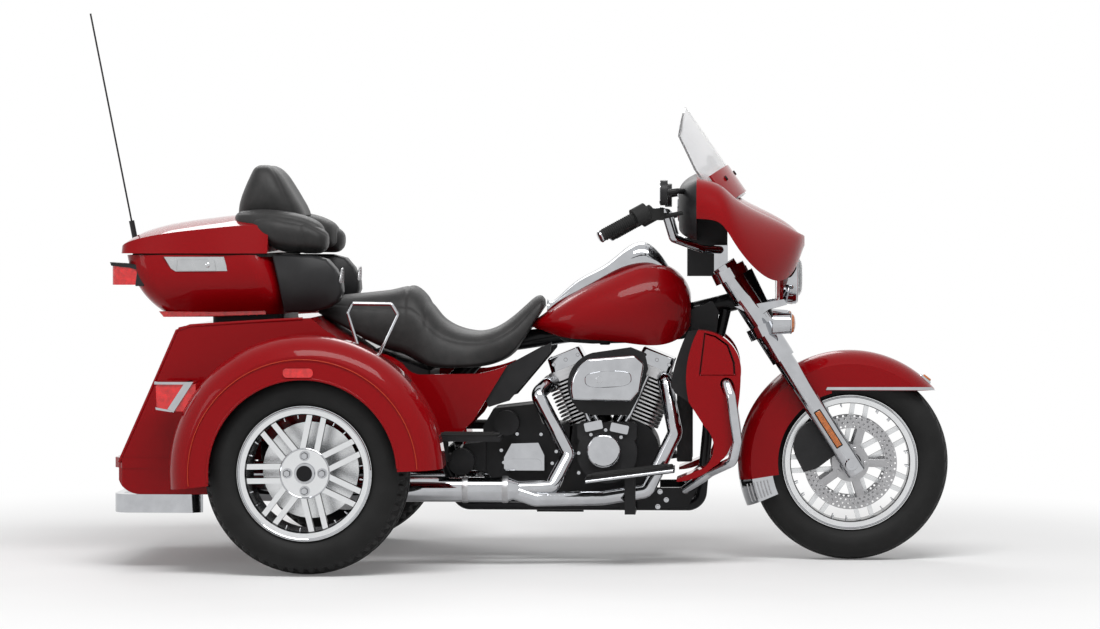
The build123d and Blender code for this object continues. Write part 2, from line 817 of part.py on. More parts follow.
with BuildPart() as air_cleaner_base:
    add(slab(at_rear(backplate_rows), breather_y, breather_y + breather_t))
    for sign in (-1, 1):
        head = bank_plane(sign, head_start + 12).origin
        with BuildSketch(Plane.XZ.offset(head_half_y)):
            with Locations((head.X - sign * 34, head.Z + 14)):
                Circle(15)
        extrude(amount=breather_y - head_half_y)
    add(pushrod_tubes.part, mode=Mode.SUBTRACT)
    add(cylinders.part, mode=Mode.SUBTRACT)
save(air_cleaner_base.part, "air_cleaner_base")

# Bright engine covers: cam cover, gearbox side cover
gear_cover_rows = [(581, 300), (581, 336), (605, 380), (691, 383), (710, 343), (710, 294), (588, 294)]
lifter_rows = ((869, 440, 12), (952, 432, -12))  # x, z, tilt
with BuildPart() as engine_covers:
    with BuildSketch(Plane.XZ.offset(cam_chest_y)):
        with Locations((xr + crank_x - 20, 360)):
            Circle(54)
    extrude(amount=26)
    fillet(engine_covers.edges().sort_by(Axis.Y)[0], radius=8)
    for x, z, tilt in lifter_rows:
        with BuildSketch(Plane.XZ.offset(cam_chest_y)):
            with Locations(Location((xr + x, z, 0), (0, 0, tilt))):
                RectangleRounded(58, 28, 5)
        extrude(amount=9)
    add(slab(at_rear(gear_cover_rows), case_half, case_half + 54))
    with BuildSketch(Plane.XZ.offset(case_half + 54)):
        with Locations((xr + 646, 314)):
            SlotOverall(112, 34)
    extrude(amount=10)
save(engine_covers.part, "engine_covers")

with BuildPart() as primary_cover:
    with BuildSketch(Plane.XZ.offset(-case_half)):
        with Locations((xr + 800, 322)):
            SlotOverall(520, 212, rotation=-3)
    extrude(amount=-92)
    fillet(primary_cover.edges().sort_by(Axis.Y)[-4:], radius=18)
    with BuildSketch(Plane.XZ.offset(-case_half - 92)):
        with Locations((xr + 645, 330)):
            Circle(66)
    extrude(amount=-10)
save(primary_cover.part, "primary_cover")

# Exhaust: two headers and a muffler on the right, a crossover and a muffler on the left
pipe_r = 24.0
muffler_r = 40.0
muffler_y = 322.0
muffler_z = 246.0
muffler_front = 640.0
muffler_rear = -330.0


def muffler(s):
    """A muffler with tapered ends, on the right for s = -1."""
    with BuildPart() as can:
        with BuildSketch(Plane.YZ.offset(xr + muffler_rear)):
            with Locations((s * muffler_y, muffler_z)):
                Circle(muffler_r)
        extrude(amount=muffler_front - muffler_rear)
        chamfer(can.edges().sort_by(Axis.X)[-1], length=40, length2=16)
        with BuildSketch(Plane.YZ.offset(xr + muffler_rear)):
            with Locations((s * muffler_y, muffler_z)):
                Circle(muffler_r - 6)
        extrude(amount=60, mode=Mode.SUBTRACT)
    return can.part


rear_port = bank_plane(-1, head_start + 14).origin
front_port = bank_plane(1, head_start + 14).origin
with BuildPart() as exhaust_right:
    add(muffler(-1))
    add(
        tube(
            [
                (rear_port.X - 60, -head_half_y, rear_port.Z - 34),
                (rear_port.X - 74, -150, rear_port.Z - 40),
                (xr + 690, -196, 540),
                (xr + 792, -222, 350),
                (xr + 740, -290, 250),
                (xr + 600, -muffler_y, muffler_z),
            ],
            pipe_r,
            26,
        )
    )
    add(
        tube(
            [
                (front_port.X + 40, -head_half_y, front_port.Z - 20),
                (front_port.X + 44, -132, front_port.Z - 26),
                (xr + 1130, -206, 420),
                (xr + 1040, -226, 236),
                (xr + 900, -238, 214),
                (xr + 690, -muffler_y + 8, muffler_z - 30),
                (xr + 600, -muffler_y, muffler_z),
            ],
            pipe_r,
            30,
        )
    )
    add(cylinders.part, mode=Mode.SUBTRACT)
    add(rocker_covers.part, mode=Mode.SUBTRACT)
save(exhaust_right.part, "exhaust_right")

with BuildPart() as exhaust_left:
    add(muffler(1))
    add(
        tube(
            [
                (xr + 590, muffler_y, muffler_z),
                (xr + 500, 232, muffler_z - 20),
                (xr + 480, 0, 236),
                (xr + 500, -232, muffler_z - 20),
                (xr + 590, -muffler_y, muffler_z),
            ],
            pipe_r,
            40,
        )
    )
    add(exhaust_right.part, mode=Mode.SUBTRACT)
    add(frame_cradle.part, mode=Mode.SUBTRACT)
save(exhaust_left.part, "exhaust_left")

# Fuel tank over the backbone: x, half_low, z_low, half_mid, z_mid, half_top, z_top, crown
tank_rows = (
    (664, 22, 746, 36, 758, 24, 770, 3),
    (740, 84, 726, 112, 766, 70, 812, 12),
    (860, 128, 712, 152, 786, 92, 880, 16),
    (990, 146, 700, 168, 800, 100, 932, 18),
    (1090, 142, 698, 164, 806, 96, 938, 16),
    (1150, 112, 724, 138, 806, 82, 900, 14),
    (1178, 60, 768, 84, 806, 54, 846, 8),
)
tunnel_half = 42.0
with BuildPart() as fuel_tank:
    loft_rows(bulged, tank_rows, xr)
    with BuildSketch(Plane.XZ.offset(-tunnel_half)):
        with BuildLine():
            Polyline(
                (xr + 600, 600),
                (xr + 1250, 600),
                (xr + 1250, 834),
                (xr + 1060, 808),
                (xr + 600, 738),
                close=True,
            )
        make_face()
    extrude(amount=2 * tunnel_half, mode=Mode.SUBTRACT)
    for x, z in ((1060, 806), (820, 770)):
        with Locations((xr + x, 0, z)):
            Box(26, 2 * tunnel_half + 10, 24)
    add(frame_spine.part, mode=Mode.SUBTRACT)
save(fuel_tank.part, "fuel_tank")

# Console along the tank's top, with the instrument hood at its front
console_rows = (
    (712, 26, 780, 34, 818, 24, 836, 5),
    (808, 36, 850, 46, 884, 36, 894, 7),
    (882, 42, 890, 54, 922, 42, 934, 8),
    (944, 46, 920, 60, 962, 46, 978, 10),
    (992, 48, 930, 64, 988, 50, 1008, 12),
    (1080, 44, 930, 58, 960, 44, 974, 10),
    (1140, 32, 890, 42, 912, 32, 922, 6),
)
with BuildPart() as tank_console:
    loft_rows(bulged, console_rows, xr)
    add(fuel_tank.part, mode=Mode.SUBTRACT)
console_body = tank_console.part.solids().sort_by(SortBy.VOLUME)[-1]
save(Part(console_body.wrapped), "tank_console")

# Rear body: a hollow trunk between the wheels, its sides closing in towards the seat
body_half = 445.0
body_nose_half = 222.0
body_low_z = 236.0
trunk_floor_z = 404.0
trunk_sill_z = 352.0
trunk_wall = 10.0
slope_top = (-420.0, 760.0)  # trunk's rear slope, ahead of the rear axle, and height
slope_foot = (-613.0, 330.0)
plate_bolt_pitch = 146.0  # holes for a number plate's bracket
plate_bolt_r = 3.2
plate_bolt_z = 286.0
lid_t = 24.0
lid_gap = 5.0
lid_len = 430.0  # down the slope
trunk_hinge = (-402.0, 743.0)
trunk_barrel_r = 21.0

body_side = at_rear(
    [
        (-545, body_low_z),
        (-586, 249, slope_foot[0], plate_bolt_z - 2 * plate_bolt_r),
        slope_foot,
        slope_top,
        (-384, 768),
        (-6, 790),
        (40, 752),
        (170, 674),
        (255, 640),
        (320, 560),
        (320, trunk_floor_z),
        (-330, trunk_floor_z),
        (-330, body_low_z),
    ]
)
trunk_space = at_rear(
    [
        (-700, trunk_sill_z),
        (-560, trunk_sill_z),
        (-350, trunk_floor_z + trunk_wall),
        (120, trunk_floor_z + trunk_wall),
        (120, 690),
        (10, 766),
        (-384, 754),
        (trunk_hinge[0], trunk_hinge[1]),
        (-700, trunk_hinge[1]),
    ]
)
body_plan = [
    (xr - 640, body_half - 40),
    (xr - 600, body_half),
    (xr + 130, body_half),
    (xr + 300, body_nose_half),
    (xr + 400, body_nose_half),
]
valance_space = at_rear(
    [
        (-340, 200),
        (-530, 200),
        (-530, body_low_z + trunk_wall),
        (-584, 262, slope_foot[0] + trunk_wall, 300),
        (slope_foot[0] + trunk_wall, 326),
        (-552, 342),
        (-340, trunk_floor_z - 2),
    ]
)
ledge_plan = [(xr - 629, body_half - 42), (xr - 600, body_half + 3), (xr - 430, body_half + 3)]
ledge_low_z = 318.0
nose_space = at_rear([(130, 300), (130, 660), (168, 660), (246, 628), (310, 552), (310, 300)])
hinge_half = body_half - trunk_wall
nose_half = body_nose_half - trunk_wall
with BuildPart() as rear_body:
    add(slab(body_side, -body_half, body_half))
    with BuildSketch(Plane.XY):
        with BuildLine():
            Polyline(*body_plan, *[(x, -y) for x, y in reversed(body_plan)], close=True)
        make_face()
    extrude(amount=1000, mode=Mode.INTERSECT)
    with BuildSketch(Plane.XY.offset(ledge_low_z)):
        with BuildLine():
            Polyline(*ledge_plan, *[(x, -y) for x, y in reversed(ledge_plan)], close=True)
        make_face()
    extrude(amount=trunk_sill_z - ledge_low_z - 2)
    add(slab(trunk_space, -hinge_half, hinge_half), mode=Mode.SUBTRACT)
    with BuildSketch(Plane.XZ.offset(-hinge_half)):
        with Locations((xr + trunk_hinge[0], trunk_hinge[1])):
            Circle(trunk_barrel_r + seat_gap)
    extrude(amount=2 * hinge_half, mode=Mode.SUBTRACT)
    with Locations((xr - 440, 0, 790)):
        Box(76, 2 * hinge_half, 100, mode=Mode.SUBTRACT)
    add(slab(valance_space, -hinge_half, hinge_half), mode=Mode.SUBTRACT)
    with BuildSketch(Plane.YZ.offset(xr + slope_foot[0])):
        with Locations((-plate_bolt_pitch / 2, plate_bolt_z), (plate_bolt_pitch / 2, plate_bolt_z)):
            Circle(plate_bolt_r)
    extrude(amount=trunk_wall, mode=Mode.SUBTRACT)
    add(slab(nose_space, -nose_half, nose_half), mode=Mode.SUBTRACT)
save(rear_body.part, "rear_body")

slope_len = ((slope_top[0] - slope_foot[0]) ** 2 + (slope_top[1] - slope_foot[1]) ** 2) ** 0.5
down_x = (slope_foot[0] - slope_top[0]) / slope_len
down_z = (slope_foot[1] - slope_top[1]) / slope_len


def on_slope(down, depth):
    """A point of the trunk's rear slope: so far down it and so deep under it."""
    return (
        slope_top[0] + down * down_x - depth * down_z,
        slope_top[1] + down * down_z + depth * down_x,
    )


with BuildPart() as trunk_lid:
    add(
        slab(
            at_rear([on_slope(8, 0), on_slope(lid_len, 0), on_slope(lid_len, lid_t), on_slope(8, lid_t)]),
            -hinge_half + lid_gap,
            hinge_half - lid_gap,
        )
    )
    with BuildSketch(Plane.XZ.offset(-hinge_half + lid_gap)):
        with Locations((xr + trunk_hinge[0], trunk_hinge[1])):
            Circle(trunk_barrel_r)
    extrude(amount=2 * (hinge_half - lid_gap))
save(trunk_lid.part, "trunk_lid")

# Side panels below the seat
panel_t = 12.0
panel_rows = [
    (212, 666, 268, 632), (292, 611, 325, 604), (499, 607), (550, 618, 596, 634), (489, 459), (440, 410),
    (310, 410), (230, 490, 160, 676),
]
with BuildPart() as side_panel:
    add(slab(at_rear(panel_rows), body_nose_half, body_nose_half + panel_t))
    add(rear_body.part, mode=Mode.SUBTRACT)
save(pair(side_panel.part), "side_panels")

# Rear fenders: an outer wall, a crown and an inner wall, turned about the axle
arch_r = 424.0
arch_lip_r = 291.0
arch_crease_r = 362.0
arch_outer_y = overall_width / 2
arch_front_deg = 2.0
arch_rear_deg = 187.0
arch_plane = axle_plane(xr, zr, arch_rear_deg)


def arch_section(inset, r_low):
    """Section of the right fender, its walls drawn in by inset."""
    y_in = -body_half - inset
    y_out = -arch_outer_y + inset
    with BuildSketch(arch_plane) as sketch:
        with BuildLine():
            Line((y_in, r_low), (y_out, r_low))
            Line((y_out, r_low), (y_out + 4, arch_crease_r))
            ThreePointArc(
                (y_out + 4, arch_crease_r),
                (y_out + 34, arch_r - 22 - inset),
                (y_out + 95, arch_r - inset),
            )
            Line((y_out + 95, arch_r - inset), (y_in, arch_r - 6 - inset))
            Line((y_in, arch_r - 6 - inset), (y_in, r_low))
        make_face()
    return sketch.sketch


rear_axis = Axis((xr, 0, zr), (0, 1, 0))
arch_sweep = arch_rear_deg - arch_front_deg
with BuildPart() as rear_fender:
    revolve(arch_section(0, arch_lip_r), axis=rear_axis, revolution_arc=arch_sweep)
    revolve(
        arch_section(wall, arch_lip_r - 60), axis=rear_axis, revolution_arc=arch_sweep, mode=Mode.SUBTRACT
    )
save(rear_fender.part, "rear_fender_right")
save(left_of(rear_fender.part), "rear_fender_left")

# Rear axle: final drive, tubes, flanges with calipers, spindles and two arms up to the frame
axle_tube_r = 28.0
flange_r = 70.0
disc_room_r = 156.0
with BuildPart() as rear_axle:
    with BuildSketch(Plane.XZ.offset(-hub_inner_y)):
        with Locations((xr, zr)):
            Circle(axle_tube_r)
    extrude(amount=2 * hub_inner_y)
    with BuildSketch(Plane.XZ.offset(-110)):
        with Locations((xr, zr - 12)):
            Circle(92)
    extrude(amount=220)
    for s in (-1, 1):
        with BuildSketch(Plane.XZ.offset(s * (hub_inner_y - 8) - 8)):
            with Locations((xr, zr)):
                Circle(flange_r)
        extrude(amount=16)
        with Locations((xr - 106, s * 452, zr + 36)):
            Box(74, 60, 66)
        with Locations((xr - 60, s * 422, zr + 30)):
            Box(110, 16, 56)
        with Locations((xr, s * rail_y, zr + 24)):
            Box(60, 50, 56)
    for s in (-1, 1):
        with BuildSketch(Plane.XZ.offset(s * (rear_disc_y + rear_disc_t / 2) - 9)):
            with Locations((xr, zr)):
                Circle(disc_room_r)
        extrude(amount=18, mode=Mode.SUBTRACT)
    with BuildSketch(Plane.XZ.offset(-spindle_end_y)):
        with Locations((xr, zr)):
            Circle(spindle_r)
    extrude(amount=2 * spindle_end_y)
    add(frame_cradle.part, mode=Mode.SUBTRACT)
save(rear_axle.part, "rear_axle")

# Rear bumper, lamps and the plate's bolts
bumper_z = 178.0
bumper_t = 26.0
bumper_rear = -632.0
bumper_front = -340.0
bumper_len = bumper_front - bumper_rear
bumper_w = 2 * body_half + 4.0
with BuildPart() as rear_bumper:
    with BuildSketch(Plane.XY.offset(bumper_z)):
        with Locations((xr + (bumper_rear + bumper_front) / 2, 0)):
            RectangleRounded(bumper_len, bumper_w, 60)
            RectangleRounded(bumper_len - 2 * bumper_t, bumper_w - 2 * bumper_t, 40, mode=Mode.SUBTRACT)
        with Locations((xr + bumper_front - 10, 0)):
            Rectangle(120, 2 * body_half - 2 * bumper_t, mode=Mode.SUBTRACT)
    extrude(amount=body_low_z - bumper_z)
save(rear_bumper.part, "rear_bumper")

# Luggage case on a rack over the trunk: columns z, x_rear, x_front, half_width, corner
case_rows = (
    (796, -500, -118, 246, 60),
    (848, -556, -114, 300, 70),
    (985, -620, -152, 312, 80),
)
case_wall = 6.0
case_split_z = 985.0
case_hinge_y = 338.0
case_hinge_z = 990.0
case_barrel_r = 7.0
case_hinge_xs = (-520, -250)


def case_section(z, x_rear, x_front, half, corner):
    """Rounded rectangle at height z."""
    with BuildSketch(Plane.XY.offset(z)) as sketch:
        with Locations((xr + (x_rear + x_front) / 2, 0)):
            RectangleRounded(x_front - x_rear, 2 * half, corner)
    return sketch.sketch


hollow_case_rows = [
    (z, x_rear + case_wall, x_front - case_wall, half - case_wall, corner - case_wall)
    for z, x_rear, x_front, half, corner in case_rows
]
case_floor_z = case_rows[0][0] + case_wall
hollow_case_rows[0] = (case_floor_z, *hollow_case_rows[0][1:])
with BuildPart() as case_block:
    loft(sections=[case_section(*row) for row in case_rows])
with BuildPart() as case_base:
    add(case_block.part)
    for x in case_hinge_xs:
        with Locations((xr + x, case_hinge_y - 14, case_split_z - 14)):
            Box(50, 38, 26)
    with BuildSketch(Plane.YZ.offset(xr - 620)):
        with Locations((case_hinge_y, case_hinge_z)):
            Circle(case_barrel_r + seat_gap)
    extrude(amount=500, mode=Mode.SUBTRACT)
    loft(sections=[case_section(*row) for row in hollow_case_rows], mode=Mode.SUBTRACT)
save(case_base.part, "case_base")

# Case lid: x, half_low, z_low, half_shoulder, z_shoulder, z_top
lid_z = case_split_z + 5.0
lid_rows = (
    (-634, 250, lid_z, 240, 1006, 1016),
    (-612, 308, lid_z, 292, 1024, 1048),
    (-520, 316, lid_z, 296, 1048, 1082),
    (-380, 316, lid_z, 292, 1066, 1104),
    (-250, 316, lid_z, 288, 1078, 1118),
    (-160, 312, lid_z, 284, 1076, 1114),
)
lid_insets = (6, 4, 0, 0, 0, -6)  # the hollow's ends, drawn in
with BuildPart() as lid_block:
    loft_rows(shouldered, lid_rows, xr)
with BuildPart() as case_lid:
    add(lid_block.part)
    loft(
        sections=[
            shouldered(
                xr + x + inset,
                low - case_wall,
                z_low - 10,
                shoulder - case_wall,
                z_shoulder - case_wall,
                z_top - case_wall,
            )
            for (x, low, z_low, shoulder, z_shoulder, z_top), inset in zip(lid_rows, lid_insets)
        ],
        mode=Mode.SUBTRACT,
    )
    for x in case_hinge_xs:
        with Locations((xr + x, case_hinge_y - 13, case_hinge_z + 4)):
            Box(40, 26, 8)
        with BuildSketch(Plane.YZ.offset(xr + x - 20)):
            with Locations((case_hinge_y, case_hinge_z)):
                Circle(case_barrel_r)
        extrude(amount=40)
save(case_lid.part, "case_lid")

# Passenger backrest on the lid's front edge, with two side wings
back_rows = (
    (1112, -288, -62, 172, 40),
    (1170, -276, -92, 178, 44),
    (1240, -246, -138, 160, 40),
    (1274, -222, -176, 120, 20),
)
wing_rows = at_rear([(-164, 1088), (-156, 1000), (10, 996), (32, 1024, 22, 1052), (-47, 1092)])
with BuildPart() as backrest:
    loft(sections=[case_section(*row) for row in back_rows])
    with BuildSketch(Plane.XY.offset(998)):
        with Locations((xr - 100, 0)):
            RectangleRounded(80, 340, 20)
    extrude(amount=120)
    for s in (-1, 1):
        add(slab(wing_rows, min(s * 150, s * 296), max(s * 150, s * 296)))
    add(lid_block.part, mode=Mode.SUBTRACT)
save(backrest.part, "backrest")

# Rack between trunk and case, speaker pods ahead of the case, lamps and antenna
with BuildPart() as case_rack:
    with BuildSketch(Plane.XY.offset(740)):
        with Locations((xr - 240, 0)):
            RectangleRounded(230, 380, 20)
    extrude(amount=case_rows[0][0] - 740)
    add(rear_body.part, mode=Mode.SUBTRACT)
    add(slab(trunk_space, -hinge_half, hinge_half), mode=Mode.SUBTRACT)
save(case_rack.part, "case_rack")

pod_points = at_rear(
    [(-118, 802), (-112, 848), (-146, 984), (30, 984), (62, 948), (76, 913), (65, 846), (4, 810)]
)
with BuildPart() as speaker_pod:
    add(slab(pod_points, 196, 312))
    fillet(speaker_pod.edges().filter_by(Axis.Y).sort_by(Axis.X)[-4:], radius=18)
    add(case_base.part, mode=Mode.SUBTRACT)
save(pair(speaker_pod.part), "speaker_pods")

tail_lamp_rows = at_rear([(-464, 590), (-461, 516), (-416, 506), (-340, 506), (-340, 590)])
with BuildPart() as lamp_block:
    add(slab(tail_lamp_rows, 514, 612))
    fillet(lamp_block.edges().filter_by(Axis.Y).sort_by(Axis.X)[:2], radius=8)
    add(rear_fender.part, mode=Mode.SUBTRACT)
with BuildPart() as fender_lamp:
    add(lamp_block.part.solids().sort_by(Axis.X)[0])
    with BuildSketch(Plane.XZ.offset(arch_outer_y)):
        with Locations((xr - 12, zr + 311)):
            RectangleRounded(92, 28, 12)
    extrude(amount=4)
save(pair(fender_lamp.part), "fender_lamps")

with BuildPart() as case_lamp:
    with BuildSketch(Plane.XY.offset(890)):
        with Locations((xr - 600, -210)):
            RectangleRounded(120, 180, 24)
    extrude(amount=64)
    add(case_block.part, mode=Mode.SUBTRACT)
save(pair(case_lamp.part), "case_lamps")

antenna_foot = (-668.0, 240.0, 962.0)
antenna_r = 3.0
with BuildPart() as antenna:
    tip = Vector(-overall_length / 2 + antenna_r, antenna_foot[1] + 6, 1786)
    foot = Vector(xr + antenna_foot[0], antenna_foot[1], antenna_foot[2])
    with BuildSketch(Plane(origin=foot, z_dir=tip - foot)):
        Circle(antenna_r)
    extrude(amount=(tip - foot).length)
    with BuildSketch(Plane(origin=foot, z_dir=tip - foot)):
        Circle(9)
    extrude(amount=135)
    with Locations((xr + antenna_foot[0] + 44, antenna_foot[1], antenna_foot[2] - 8)):
        Box(110, 30, 14)
    add(case_block.part, mode=Mode.SUBTRACT)
    for lamp in (case_lamp.part, left_of(case_lamp.part)):
        add(lamp, mode=Mode.SUBTRACT)
save(antenna.part, "antenna")

# Seat: side outline from the passenger's end over the nose and back along the lower edge
seat_rows = [
    (-20, 846), (222, 880), (275, 887, 318, 862), (361, 802), (480, 744, 610, 793), (660, 838),
    (692, 856, 706, 838), (660, 762), (646, 692), (624, 654, 580, 636), (354, 616), (250, 668), (-20, 700),
]
seat_plan = ((-20, 150), (60, 172), (250, 186), (340, 204), (440, 204), (560, 152), (640, 104), (706, 76))
seat_edge = [(xr + x, y) for x, y in seat_plan]
with BuildPart() as seat:
    add(slab(at_rear(seat_rows), -240, 240))
    with BuildSketch(Plane.XY.offset(500)):
        with BuildLine():
            Polyline(*seat_edge, *[(x, -y) for x, y in reversed(seat_edge)], close=True)
        make_face()
    extrude(amount=500, mode=Mode.INTERSECT)
    add(slab(body_side, -body_half, body_half), mode=Mode.SUBTRACT)
    add(frame_spine.part, mode=Mode.SUBTRACT)
    add(tank_console.part, mode=Mode.SUBTRACT)
    add(fuel_tank.part, mode=Mode.SUBTRACT)
save(seat.part, "seat")

grab_y = 243.0
grab_r = 6.0
grab_points = ((122, 690), (88, 800), (102, 830), (228, 828), (248, 794), (180, 650))
with BuildPart() as grab_rail:
    add(tube([(xr + x, -grab_y, z) for x, z in grab_points], grab_r, 10))
    add(slab(body_side, -body_half, body_half), mode=Mode.SUBTRACT)
save(pair(grab_rail.part), "grab_rails")

# Engine guard: places ahead of the rear axle, right of centre, height
guard_r = 16.0
guard_points = (
    (1150, 150, 224),
    (1242, 250, 299),
    (1312, 334, 338),
    (1326, 336, 400),
    (1306, 334, 540),
    (1292, 308, 584),
    (1262, 190, 588),
    (1262, 106, 596),
)
guard_path = [(xr + x, -y, z) for x, y, z in guard_points]
with BuildPart() as engine_guard:
    add(tube(guard_path, guard_r, 24))
    add(frame_cradle.part, mode=Mode.SUBTRACT)
guard_bar = engine_guard.part.solids().sort_by(SortBy.VOLUME)[-1]
save(pair(Part(guard_bar.wrapped)), "engine_guard")

# Lower fairings with a glove pocket each; the pocket's door hinges along its bottom edge
lower_in_y = 196.0
lower_out_y = 314.0
door_t = 26.0
pocket_in_y = 226.0
door_hinge_r = 5.0
lower_rows = [
    (1136, 272), (1200, 286, 1250, 318), (1292, 356, 1312, 430), (1330, 516, 1337, 604),
    (1306, 706, 1222, 748), (1203, 750), (1168, 640, 1174, 522), (1224, 445), (1252, 376, 1222, 316),
    (1136, 280),
]
door_corners = ((1206, 612), (1222, 742), (1258, 732), (1298, 704), (1318, 648), (1320, 612))
door_hinge_z = 612.0
door_hinge_y = lower_out_y - door_hinge_r
with BuildPart() as lower_fairing:
    add(slab(at_rear(lower_rows), lower_in_y, lower_out_y))
    add(slab(at_rear(door_corners), pocket_in_y, lower_out_y), mode=Mode.SUBTRACT)
    with BuildSketch(Plane.YZ.offset(xr + 1206)):
        with Locations((-door_hinge_y, door_hinge_z)):
            Circle(door_hinge_r + seat_gap)
    extrude(amount=116, mode=Mode.SUBTRACT)
    sill = [(1206, door_hinge_z - 6), (1206, door_hinge_z), (1322, door_hinge_z), (1322, door_hinge_z - 6)]
    add(slab(at_rear(sill), lower_out_y - 3, lower_out_y), mode=Mode.SUBTRACT)
    add(tube(guard_path, guard_r + 5, 24), mode=Mode.SUBTRACT)
    for x, z in ((1254, 530), (1238, 480)):
        with BuildSketch(Plane.XZ.offset(100)):
            with Locations((xr + x, z)):
                Circle(12)
        extrude(amount=lower_in_y - 100)
    add(frame_cradle.part, mode=Mode.SUBTRACT)
save(lower_fairing.part, "lower_fairing_right")
save(left_of(lower_fairing.part), "lower_fairing_left")

door_points = at_rear([(1211, 612), (1226, 736), (1256, 727), (1293, 700), (1312, 646), (1314, 612)])
with BuildPart() as glove_door:
    add(slab(door_points, lower_out_y - door_t, lower_out_y))
    with BuildSketch(Plane.YZ.offset(xr + 1211)):
        with Locations((-door_hinge_y, door_hinge_z)):
            Circle(door_hinge_r)
    extrude(amount=103)
    with BuildSketch(Plane.YZ.offset(xr + 1200)):
        with Locations((-door_hinge_y + 16, door_hinge_z)):
            Rectangle(22, 40)
    extrude(amount=140, mode=Mode.SUBTRACT)
save(glove_door.part, "glove_door_right")
save(left_of(glove_door.part), "glove_door_left")

# Black trim: deflectors under the tank's tail, liners behind the lower fairings, covers of the neck
liner_in_y = 180.0
cover_y = 62.0
cover_t = 5.0
deflector_rows = [(520, 540), (560, 612), (737, 708), (732, 675), (602, 521), (536, 500)]
liner_rows = [
    (1199, 746), (1171, 742), (1136, 660, 1115, 568), (1130, 544), (1172, 516), (1290, 516), (1290, 700),
]
neck_cover_rows = [(1178, 730), (1178, 806), (1246, 836), (1268, 800), (1258, 716), (1222, 708)]
with BuildPart() as trim:
    add(slab(at_rear(deflector_rows), body_nose_half - 16, body_nose_half))
    add(slab(at_rear(liner_rows), liner_in_y, lower_in_y))
    add(slab(at_rear(neck_cover_rows), cover_y - cover_t, cover_y))
    with Locations((xr + 1222, -cover_y / 2, 800)):
        Box(24, cover_y, 24)
    add(frame_spine.part, mode=Mode.SUBTRACT)
    add(tube(guard_path, guard_r + 5, 24), mode=Mode.SUBTRACT)
    add(lower_fairing.part, mode=Mode.SUBTRACT)
save(pair(trim.part), "deflectors")

# Footboards: columns node, x_rear, x_front, y_in, y_out, z_rear, z_front, arm_x, arm_z
board_t = 16.0
board_rows = (
    ("rider_boards", 848, 1130, 268, 384, 284, 321, 989, 176),
    ("passenger_boards", 376, 582, 262, 376, 416, 416, 396, 340),
)
for node, x_rear, x_front, y_in, y_out, z_rear, z_front, arm_x, arm_z in board_rows:
    sole = [(x_rear, z_rear), (x_front, z_front), (x_front, z_front - board_t), (x_rear, z_rear - board_t)]
    z_middle = (z_rear + z_front) / 2
    with BuildPart() as board:
        add(slab(at_rear(sole), y_in, y_out))
        with Locations((xr + arm_x, -(rail_y + y_in + 40) / 2, arm_z)):
            Box(34, y_in + 40 - rail_y, 18)
        with Locations((xr + arm_x, -y_in - 30, (arm_z + z_middle) / 2 - 6)):
            Box(34, 20, abs(z_middle - arm_z) + 6)
        add(frame_cradle.part, mode=Mode.SUBTRACT)
        add(engine_cases.part, mode=Mode.SUBTRACT)
    save(pair(board.part), node)
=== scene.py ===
import json
from math import atan, atan2, cos, pi, radians, sin

import bmesh
import bpy
from mathutils import Matrix, Vector


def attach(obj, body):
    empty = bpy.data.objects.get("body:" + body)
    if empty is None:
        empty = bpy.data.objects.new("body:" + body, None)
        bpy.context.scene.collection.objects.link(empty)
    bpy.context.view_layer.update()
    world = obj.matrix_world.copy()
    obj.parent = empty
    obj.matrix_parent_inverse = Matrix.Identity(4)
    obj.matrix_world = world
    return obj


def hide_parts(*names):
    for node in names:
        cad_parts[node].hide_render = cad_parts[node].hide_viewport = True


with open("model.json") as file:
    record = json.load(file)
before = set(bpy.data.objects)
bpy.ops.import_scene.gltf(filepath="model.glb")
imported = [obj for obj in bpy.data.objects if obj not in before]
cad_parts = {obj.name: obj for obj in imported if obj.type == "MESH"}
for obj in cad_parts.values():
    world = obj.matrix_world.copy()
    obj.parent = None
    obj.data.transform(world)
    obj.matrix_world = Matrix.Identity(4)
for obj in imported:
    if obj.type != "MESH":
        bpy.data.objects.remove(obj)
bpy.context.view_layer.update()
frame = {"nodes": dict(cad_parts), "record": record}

# Places in metres, taken from the frame: +X forward, +Y the rider's left, +Z up.
JOINTS = {j["name"]: j for j in frame["record"]["behaviour"]["joints"]}
FRONT_AXLE = Vector(JOINTS["front_wheel_spin"]["pos_m"])
REAR_AXLE = Vector(JOINTS["rear_wheel_right_spin"]["pos_m"])
REAR_X = REAR_AXLE.x
FRONT_X = FRONT_AXLE.x
MM = 0.001
REAR_Z, FRONT_Z = 318, 316  # heights of the axles, in millimetres
SIDES = (("right", -1), ("left", 1))


# Materials

def new_material(name):
    """An empty node material and its Principled shader."""
    material = bpy.data.materials.new(name)
    material.use_nodes = True
    return material, material.node_tree, material.node_tree.nodes["Principled BSDF"]


def put(node, values):
    """Sets inputs of a node by name."""
    for name, value in values.items():
        node.inputs[name].default_value = value


def coords(tree, scale=(1, 1, 1)):
    """Object coordinates, scaled."""
    source = tree.nodes.new("ShaderNodeTexCoord")
    mapping = tree.nodes.new("ShaderNodeMapping")
    mapping.inputs["Scale"].default_value = scale
    tree.links.new(source.outputs["Object"], mapping.inputs["Vector"])
    return mapping.outputs["Vector"]


def noise(tree, scale, detail=3.0, stretch=(1, 1, 1)):
    """Noise over object coordinates, in cells per metre."""
    node = tree.nodes.new("ShaderNodeTexNoise")
    put(node, {"Scale": scale, "Detail": detail})
    tree.links.new(coords(tree, stretch), node.inputs["Vector"])
    return node.outputs["Fac"]


